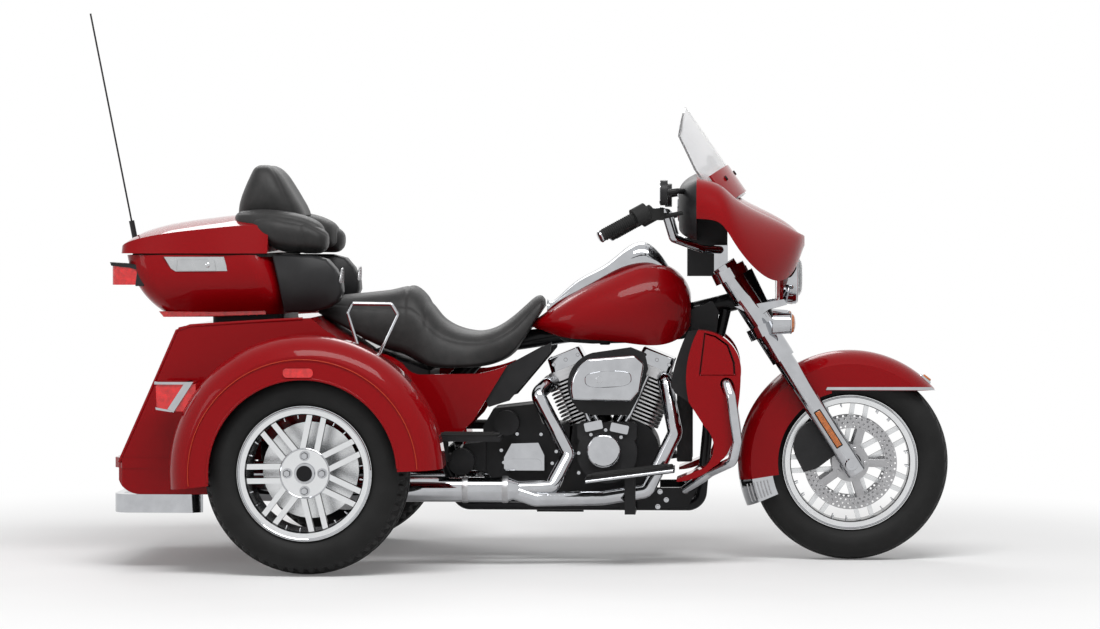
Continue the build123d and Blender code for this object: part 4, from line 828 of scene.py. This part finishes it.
BODY_EDGE = ((-610, 336), (-516, 546), (-426, 750), (-384, 765), (-200, 777), (-30, 787))
BODY_Y = 443
ARCH_Y = 695


def body_edges():
    """Rounded beads where the panels fold, the fenders' rolled lips, and above each lip a thin bead
    painted lighter red-orange: a painted highlight along the fender's crease.
    """
    for side, s in SIDES:
        bm = bmesh.new()
        pipe(bm, [rear(x, s * BODY_Y, z) for x, z in BODY_EDGE], 5)
        pipe(bm, [rear(x, s * (ARCH_Y - 2), z) for x, z in arc_xz(0, REAR_Z, 293, 4, 185, 72)], 4.5)
        piece("body_edges_" + side, bm, "chassis", RED)
        bm = bmesh.new()
        # A thin bead along the fender's crease, painted lighter than the body: a painted highlight.
        pipe(bm, [rear(x, s * (ARCH_Y - 0.2), z) for x, z in arc_xz(0, REAR_Z, 352, 3, 186, 72)], 1.4)
        piece("pinstripe_" + side, bm, "chassis", CREASE_HIGHLIGHT_PAINT)


def lamp_frames():
    """Chrome frames round the tail lamps, the case's lamp strips and their flutes."""
    for side, s in SIDES:
        bm = bmesh.new()
        prism(bm, ((-372, 597), (-346, 597), (-408, 502), (-428, 512)), s * 508, s * 618, rear, 3)
        prism(bm, ((-468, 597), (-468, 589), (-360, 589), (-360, 597)), s * 510, s * 616, rear, 2)
        prism(bm, ((-465, 519), (-463, 511), (-412, 503), (-412, 509)), s * 510, s * 616, rear, 2)
        piece("lamp_frames_" + side, bm, "chassis", CHROME)
        bm = bmesh.new()
        strip = ((-515, 805), (-500, 787), (-338, 788), (-172, 796), (-172, 807), (-338, 806))
        prism(bm, strip, s * 238, s * 262, rear, 3)
        for k in range(12):
            x = -488 + 26 * k
            prism(bm, ((x, 804), (x, 792), (x + 3, 792), (x + 3, 804)), s * 260, s * 263.5, rear, 0.8)
        piece("case_strip_" + side, bm, "chassis", LENS_RED)


LAMP_HOOD = (
    *((-664, 962), (-600, 957), (-560, 952), (-542, 905), (-556, 886)),
    *((-582, 886), (-574, 938), (-600, 946), (-660, 951)),
)


def case_furniture():
    """Latches, seal and lamp hoods of the luggage case, and the trunk's handle."""
    bm = bmesh.new()
    prism(bm, ((-490, 980), (-297, 980), (-284, 934), (-453, 932), (-468, 942)), -322, -306, rear, 3)
    prism(bm, ((-445, 970), (-326, 970), (-320, 936), (-447, 936)), -326, -321, rear, 2)
    lathe(bm, ((0, 0), (8, 0), (8, 2), (5, 4), (0, 4)), rear(-348, -326, 953), (0, -1, 0), 24)
    piece("case_latches", bm, "chassis", ALLOY)
    bm = bmesh.new()
    rings = []
    for inset, z in ((0, 979), (0, 989), (14, 989), (14, 979)):
        rings.append([rear(x, y, z) for x, y in oval(-366, 8, 240 - inset, 312 - inset, 9, 120)])
    skin(bm, rings, closed=True)
    piece("case_seal", bm, "chassis", RUBBER)
    for side, s in SIDES:
        bm = bmesh.new()
        prism(bm, LAMP_HOOD, s * 246, s * 303, rear, 2)
        piece("case_lamp_hood_" + side, bm, "chassis", PLASTIC)
    bm = bmesh.new()
    slope = rotated("Y", -24.2)
    block(bm, rear(-579, 0, 440), (18, 210, 34), 6, slope)
    block(bm, rear(-560, 0, 480), (10, 90, 40), 4, slope)
    piece("trunk_handle", bm, "trunk_lid", CHROME)


POD_OUTLINE = (
    *((-146, 984), (-20, 983), (26, 971), (54, 939), (72, 894)),
    *((74, 866), (60, 836), (28, 816), (-14, 805), (-106, 803)),
)
PAN_OUTLINE = ((110, 700), (200, 664), (300, 630), (345, 614), (345, 566), (200, 566), (110, 640))


def seat_pan():
    """The moulded tray under the seat, between the side panels."""
    bm = bmesh.new()
    prism(bm, PAN_OUTLINE, -176, 176, rear, 6)
    piece("seat_pan", bm, "chassis", PLASTIC)


def speaker_faces():
    """Moulded speaker pods with round grilles."""
    for side, s in SIDES:
        bm = bmesh.new()
        prism(bm, POD_OUTLINE, s * 197, s * 311, rear, 9)
        pod = piece("speaker_pod_" + side, bm, "chassis", PLASTIC, 60)
        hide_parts("speaker_pods")
        bm = bmesh.new()
        centre = rear(69, s * 254, 896)
        for r in (46, 37, 28, 19, 10):
            hoop(bm, centre, (1, 0, -0.08), r, 2.6, 48)
        for k in range(8):
            a = pi * k / 4
            pipe(bm, [centre, centre + Vector((0, cos(a), sin(a))) * 46 * MM], 1.6, 6)
        piece("speaker_grille_" + side, bm, "chassis", STEEL)


body_edges()
lamp_frames()
case_furniture()
seat_pan()
speaker_faces()


# Engine

CHEST_Y = -192
CASE_Y = -108
COVER_Y = -262


def on_bank(sign, along, across, y):
    """A point of a cylinder: along its axis from the crank, forward across it and left of centre."""
    a = sign * BANK
    c, s = cos(a), sin(a)
    return rear(CRANK_X + along * s + across * c, y, CRANK_Z + along * c - across * s)


CHEST_SCREWS = ((908, 427), (861, 412), (957, 404), (822, 353), (822, 290))
CASE_SCREWS = ((620, 408), (697, 407), (569, 355), (577, 316), (733, 314), (746, 352))
PLATE_Y = -175
PLATE_BOLTS = ((977, 195), (995, 181), (1074, 181), (1101, 203), (1081, 229), (1037, 221))


def engine_hardware():
    """Screws and bolts of the cam chest, gearbox, board plate and rocker boxes."""
    bm = bmesh.new()
    for x, z in CHEST_SCREWS:
        cap_screw(bm, rear(x, CHEST_Y, z), (0, -1, 0), 6.5, 6)
    for x, z in CASE_SCREWS:
        cap_screw(bm, rear(x, CASE_Y, z), (0, -1, 0), 6.5, 7)
    for x, z in PLATE_BOLTS:
        bolt(bm, rear(x, PLATE_Y, z), (0, -1, 0), 6, 6)
    bolt(bm, rear(1004, PLATE_Y, 229), (0, -1, 0), 11, 9)
    for sign in (-1, 1):
        for across in (-42, 0, 42):
            cap_screw(bm, on_bank(sign, 384, across, -90), (0, -1, 0), 6, 6)
    piece("engine_hardware", bm, "chassis", CHROME)


def breather_face():
    """The air cleaner's plain oval insert with its screw."""
    bm = bmesh.new()
    prism(bm, oval(918, 592, 74, 26, 3.0, 48, 3), COVER_Y + 1, COVER_Y - 4, rear, 2)
    cap_screw(bm, rear(890, COVER_Y - 4, 591), (0, -1, 0), 11, 4)
    piece("breather_insert", bm, "chassis", CHROME)


MUFFLER_Y, MUFFLER_Z = 322, 246
CLAMP = ((39, -9), (42, -9), (42.6, -6), (42.6, 6), (42, 9), (39, 9))


def exhaust_dress():
    """Clamps along the mufflers and rims at their outlets."""
    bm = bmesh.new()
    for _, s in SIDES:
        for x in (596, 470, -300):
            lathe(bm, CLAMP, rear(x, s * MUFFLER_Y, MUFFLER_Z), (1, 0, 0), 40)
        hoop(bm, rear(-330, s * MUFFLER_Y, MUFFLER_Z), (1, 0, 0), 37.5, 3.2, 48)
    piece("exhaust_clamps", bm, "chassis", STEEL)


TRAY_OUTLINE = (
    *((740, 722), (800, 746), (1180, 762), (1206, 736)),
    *((1150, 712), (1010, 700), (860, 696), (770, 702)),
)


def engine_surroundings():
    """The moulded tray under the tank and the finned oil cooler between the downtubes."""
    bm = bmesh.new()
    prism(bm, TRAY_OUTLINE, -46, 46, rear, 5)
    for x, z in ((800, 712), (900, 704), (1090, 712)):
        block(bm, rear(x, 0, z), (34, 116, 22), 5)
    piece("wiring_tray", bm, "chassis", PLASTIC)
    bm = bmesh.new()
    for k in range(18):
        block(bm, rear(1158, 0, 330 + 12 * k), (44, 170, 4), 1)
    for y in (-88, 88):
        block(bm, rear(1158, y, 432), (50, 18, 226), 5)
    piece("oil_cooler", bm, "chassis", CRACKLE)


engine_hardware()
engine_surroundings()
breather_face()
exhaust_dress()


# Footboards

BOARDS = (
    # name, rear x, front x, near y, far y, rear z, front z, ribs
    ("rider_pads", 848, 1130, 268, 384, 284, 321, 9),
    ("passenger_pads", 376, 582, 262, 376, 416, 416, 7),
)


def board_pads():
    """Ribbed rubber pads on all four footboards."""
    for name, x_rear, x_front, near, far, z_rear, z_front, ribs in BOARDS:
        tilt = -atan((z_front - z_rear) / (x_front - x_rear))
        turn = Matrix.Rotation(tilt, 3, "Y")
        long, wide = (x_front - x_rear) / cos(tilt), far - near
        bm = bmesh.new()
        for _, s in SIDES:
            middle = rear((x_rear + x_front) / 2, s * (near + far) / 2, (z_rear + z_front) / 2)
            outline = oval(0, 0, long / 2 - 4, wide / 2 - 4, 5, 56)
            rings = []
            for up, inset in ((-2, 0), (5, 0), (7, 2)):
                p, q = 1 - 2 * inset / long, 1 - 2 * inset / wide
                rings.append([middle + turn @ Vector((u * p, v * q, up)) * MM for u, v in outline])
            skin(bm, rings)
            for k in range(ribs):
                v = -wide / 2 + wide * (k + 1) / (ribs + 1)
                block(bm, middle + turn @ Vector((0, v, 7.5)) * MM, (long - 44, 5, 4), 1.2, turn)
        piece(name, bm, "chassis", RUBBER)


def board_edges():
    """Bright strips along the rider boards' outer edges."""
    bm = bmesh.new()
    for _, s in SIDES:
        pipe(bm, [rear(852, s * 384, 276), rear(1126, s * 384, 312)], 5)
    piece("board_edges", bm, "chassis", CHROME)


board_pads()
board_edges()


# Front end

LEAN_DEGREES = 32.7
FORK_LEAN = radians(LEAN_DEGREES)


def on_fork(along, ahead, y):
    """A point by a fork leg: up it from the axle, square to it forwards, left of centre."""
    c, s = cos(FORK_LEAN), sin(FORK_LEAN)
    return front(-along * s + ahead * c, y, FRONT_Z + along * c + ahead * s)


def fork_dress():
    """Axle nuts and the reflectors on the sliders."""
    lean = rotated("Y", -LEAN_DEGREES)
    chrome, black, amber = bmesh.new(), bmesh.new(), bmesh.new()
    for _, s in SIDES:
        nut = ((0, 0), (21, 0), (21, 8), (17, 12), (9, 12), (9, 7), (0, 7))
        lathe(chrome, nut, front(0, s * 154, FRONT_Z), (0, s, 0), 32)
        block(black, on_fork(136, 0, s * 157), (24, 6, 138), 2.5, lean)
        block(amber, on_fork(136, 0, s * 161), (18, 6, 130), 2.5, lean)
    piece("axle_nuts", chrome, "steering", CHROME)
    piece("reflector_frames", black, "steering", PLASTIC)
    piece("fork_reflectors", amber, "steering", LENS_AMBER)


def fender_dress():
    """Bright strip along the front fender, its tip lamp, and ribs on its tail piece."""
    chrome, grey, amber = bmesh.new(), bmesh.new(), bmesh.new()
    for _, s in SIDES:
        prism(chrome, ((-76, 560), (-80, 551), (270, 551), (258, 561)), s * 84.5, s * 88, front, 1.2)
        for k in range(7):
            rib = arc_xz(0, FRONT_Z, 272 + 11 * k, 191.6, 201.8, 8)
            pipe(grey, [front(x, s * 87.5, z) for x, z in rib], 2.2, 8)
    block(chrome, front(240, 0, 581), (44, 40, 16), 5, rotated("Y", 38))
    block(amber, front(247, 0, 586), (30, 28, 12), 4, rotated("Y", 38))
    piece("fender_strip", chrome, "steering", CHROME)
    piece("fender_tip_lamp", amber, "steering", LENS_AMBER)
    piece("fender_tail_ribs", grey, "steering", STEEL)


LAMP_Z = 912
SIGNAL = (-194, 205, 768)
SIGNAL_BRACKET = (
    *((-374, 820), (-318, 827), (-215, 844), (-205, 826)),
    *((-261, 811), (-289, 790), (-346, 806)),
)
BEZEL = (
    *((70.5, -66), (78, -66), (84, -46), (88, -18), (87, -4)),
    *((81, 2), (74, 3), (70.5, -1), (70.5, -66)),
)


def lamp_dress():
    """Headlamp bezel, amber lenses, rings and brackets of the signals."""
    chrome, amber = bmesh.new(), bmesh.new()
    lathe(chrome, BEZEL, front(-170, 0, LAMP_Z), (1, 0, 0), 72)
    for _, s in SIDES:
        place = front(SIGNAL[0], s * SIGNAL[1], SIGNAL[2])
        lathe(amber, ((0, 0), (30, 0), (30, 3), (27, 9), (18, 13), (0, 15)), place, (1, 0, 0), 40)
        hoop(chrome, place, (1, 0, 0), 31.5, 2.6, 48)
        prism(chrome, SIGNAL_BRACKET, s * 150, s * 157, front, 2)
    piece("lamp_bezels", chrome, "steering", CHROME)
    piece("signal_lenses", amber, "steering", LENS_AMBER)


GRIP_END = (-779, 452, 1049)
GRIP_IN = (-668, 412, 1110)


def bar_dress():
    """Grip ribs, end caps and mirror glass."""
    ribs, chrome, glass = bmesh.new(), bmesh.new(), bmesh.new()
    for _, s in SIDES:
        outer = front(GRIP_END[0], s * GRIP_END[1], GRIP_END[2])
        inner = front(GRIP_IN[0], s * GRIP_IN[1], GRIP_IN[2])
        way = inner - outer
        for k in range(16):
            hoop(ribs, outer + way.normalized() * (4 + 6.8 * k) * MM, way, 18.2, 1.7, 28, 8)
        lathe(chrome, ((0, -18), (13, -18), (19, -14), (19.5, -10), (0, -10)), outer, way, 36)
        mirror = oval(s * 415, 1180, 58, 35, 3.2, 48)
        skin(glass, [[front(x, y, z) for y, z in mirror] for x in (-603.5, -606)])
    piece("grip_ribs", ribs, "steering", RUBBER)
    piece("bar_ends", chrome, "steering", CHROME)
    piece("mirror_glass", glass, "steering", MIRROR)


GAUGES = (
    # left of centre, height, radius, marks, needle in degrees above left
    (62, 1140, 46, 21, 60),
    (-62, 1140, 46, 21, 120),
    (150, 1140, 24, 9, 70),
    (-150, 1140, 24, 9, 110),
)
DASH_X = -549


def dash_dress():
    """Gauges with plain marks and the speakers of the inner fairing."""
    chrome, black, marks, needles = bmesh.new(), bmesh.new(), bmesh.new(), bmesh.new()
    for y, z, r, count, angle in GAUGES:
        centre = front(DASH_X, y, z)
        hoop(chrome, centre + Vector((-3 * MM, 0, 0)), (1, 0, 0), r, 3.4, 48)
        lathe(black, ((0, -4), (r, -4), (r, 1.5), (0, 1.5)), centre, (-1, 0, 0), 48)
        for k in range(count):
            a = radians(-40 + 260 * k / (count - 1))
            spot = centre + Vector((-2.2, 0.82 * r * cos(a), 0.82 * r * sin(a))) * MM
            block(marks, spot, (1.2, r * 0.16, 1.4), 0.2, Matrix.Rotation(a, 3, "X"))
        a = radians(angle)
        hand = centre + Vector((-3.2, 0.3 * r * cos(a), 0.3 * r * sin(a))) * MM
        block(needles, hand, (1.2, r * 0.8, 1.8), 0.3, Matrix.Rotation(a, 3, "X"))
    for _, s in SIDES:
        centre = front(DASH_X + 4, s * 235, 1132)
        for r in (50, 41, 32, 23, 14, 5):
            hoop(black, centre, (1, 0, 0), r, 2.6, 48)
        hoop(chrome, centre, (1, 0, 0), 56, 3.0, 56)
    piece("gauge_rings", chrome, "steering", CHROME)
    piece("gauge_faces", black, "steering", PLASTIC)
    piece("gauge_marks", marks, "steering", LENS_CLEAR)
    piece("gauge_needles", needles, "steering", LENS_RED)


SCREEN_BASE = (-423, 1255)
SCREEN_R = 503
SCREEN_LEAN = Vector((-142, 0, 205)).normalized()


def on_screen(y, along, out):
    """A point by the windshield's sheet: left of centre, up its slope, out from its face."""
    r = SCREEN_R + out
    depth = SCREEN_R * 0.94 - (r * r - y * y) ** 0.5
    back = SCREEN_LEAN.cross(Vector((0, 1, 0)))
    return front(SCREEN_BASE[0], y, SCREEN_BASE[1]) + (SCREEN_LEAN * along + back * depth) * MM


def screen_visor():
    """The painted band that clamps the windshield's foot, and its screws."""
    bm = bmesh.new()
    rings = []
    section = ((-104, 1), (-104, 6), (-3, 6), (0, 4), (0, 1))
    for k in range(33):
        y = -255 + 510 * k / 32
        rings.append([on_screen(y, along, out) for along, out in section])
    skin(bm, rings)
    piece("screen_visor", bm, "steering", RED)
    bm = bmesh.new()
    for y in (-180, 0, 180):
        normal = on_screen(y, -34, 9) - on_screen(y, -34, 6)
        cap_screw(bm, on_screen(y, -34, 6), normal, 8, 5)
    piece("screen_screws", bm, "steering", PLASTIC)


screen_visor()
fork_dress()
fender_dress()
lamp_dress()
bar_dress()
dash_dress()


# Stage, light and camera

PHOTO_W = 1100.0
FOCAL_PX = 3239.0
CAMERA_AT = Vector((0.701, -10.5, 1.08))
YAW = atan(175.0 / FOCAL_PX)
PITCH = atan(89.5 / FOCAL_PX)
SENSOR_MM = 36.0

camera_data = bpy.data.cameras.new("camera")
camera_data.sensor_width = SENSOR_MM
camera_data.lens = FOCAL_PX / PHOTO_W * SENSOR_MM
camera = show("camera", camera_data)
forward = Vector((-sin(YAW) * cos(PITCH), cos(YAW) * cos(PITCH), -sin(PITCH)))
camera.location = CAMERA_AT
camera.rotation_euler = forward.to_track_quat("-Z", "Y").to_euler()
bpy.context.scene.camera = camera


def seen_rays(tree, *outputs):
    """1 for the kinds of ray named, 0 for the rest."""
    path = tree.nodes.new("ShaderNodeLightPath")
    value = path.outputs[outputs[0]]
    for name in outputs[1:]:
        value = math_node(tree, "MAXIMUM", value, path.outputs[name])
    return value


WHITE_RAYS = ("Is Camera Ray", "Is Glossy Ray", "Is Transmission Ray")
FLOOR_HALF = 5.0
FLOOR_LIFT = 0.12  # share of plain white seen on the floor below the trike
CLEAR_FROM, CLEAR_TO = 1.5, 3.2  # metres from the middle over which the floor turns plain white

floor_mesh = bpy.data.meshes.new("floor")
floor_corners = [(x * FLOOR_HALF, y * FLOOR_HALF, 0) for x, y in ((-1, -1), (1, -1), (1, 1), (-1, 1))]
floor_mesh.from_pydata(floor_corners, [], [(0, 1, 2, 3)])
floor = show("floor", floor_mesh)
floor_material, floor_tree, floor_shader = new_material("floor_paint")
pale = ramp(floor_tree, noise(floor_tree, 2, 2), 0.2, 0.8, (0.90, 0.90, 0.90), (0.92, 0.92, 0.92))
floor_tree.links.new(pale, floor_shader.inputs["Base Color"])
put(floor_shader, {"Roughness": 0.8, "Specular IOR Level": 0.1})
glow = floor_tree.nodes.new("ShaderNodeEmission")
put(glow, {"Strength": 1.0})
reach = floor_tree.nodes.new("ShaderNodeVectorMath")
reach.operation = "LENGTH"
floor_tree.links.new(coords(floor_tree), reach.inputs[0])
fade = floor_tree.nodes.new("ShaderNodeMapRange")
fade.interpolation_type = "SMOOTHSTEP"
put(fade, {"From Min": CLEAR_FROM, "From Max": CLEAR_TO, "To Min": FLOOR_LIFT, "To Max": 1.0})
floor_tree.links.new(reach.outputs["Value"], fade.inputs["Value"])
seen = seen_rays(floor_tree, *WHITE_RAYS)
lift = math_node(floor_tree, "MULTIPLY", seen, fade.outputs["Result"])
blend = floor_tree.nodes.new("ShaderNodeMixShader")
floor_tree.links.new(lift, blend.inputs[0])
floor_tree.links.new(floor_shader.outputs[0], blend.inputs[1])
floor_tree.links.new(glow.outputs[0], blend.inputs[2])
floor_tree.links.new(blend.outputs[0], floor_tree.nodes["Material Output"].inputs["Surface"])
floor_mesh.materials.append(floor_material)

AMBIENT = 0.27  # strength of the even light on the trike

world = bpy.data.worlds.new("studio")
bpy.context.scene.world = world
world.use_nodes = True
sky = world.node_tree
fill_light = sky.nodes["Background"]
put(fill_light, {"Color": (1, 1, 1, 1), "Strength": AMBIENT})
white = sky.nodes.new("ShaderNodeBackground")
put(white, {"Color": (1, 1, 1, 1), "Strength": 1.0})
studio = sky.nodes.new("ShaderNodeMixShader")
sky.links.new(seen_rays(sky, *WHITE_RAYS), studio.inputs[0])
sky.links.new(fill_light.outputs[0], studio.inputs[1])
sky.links.new(white.outputs[0], studio.inputs[2])
sky.links.new(studio.outputs[0], sky.nodes["World Output"].inputs["Surface"])


def area_light(name, place, aim, size, watts):
    """A soft box aimed at a point."""
    data = bpy.data.lights.new(name, "AREA")
    data.shape = "RECTANGLE"
    data.size, data.size_y = size
    data.energy = watts
    lamp = show(name, data)
    lamp.location = place
    lamp.rotation_euler = (Vector(aim) - Vector(place)).to_track_quat("-Z", "Y").to_euler()


area_light("key", (0.6, -3.2, 5.2), (0, 0, 0.4), (4.5, 1.6), 260)
area_light("fill", (-4.5, -4.0, 2.2), (-0.4, 0, 0.6), (2.0, 2.0), 40)
area_light("rim", (-1.0, 4.5, 4.0), (0, 0, 0.8), (4.0, 2.0), 90)

bpy.context.scene.view_settings.view_transform = "Standard"
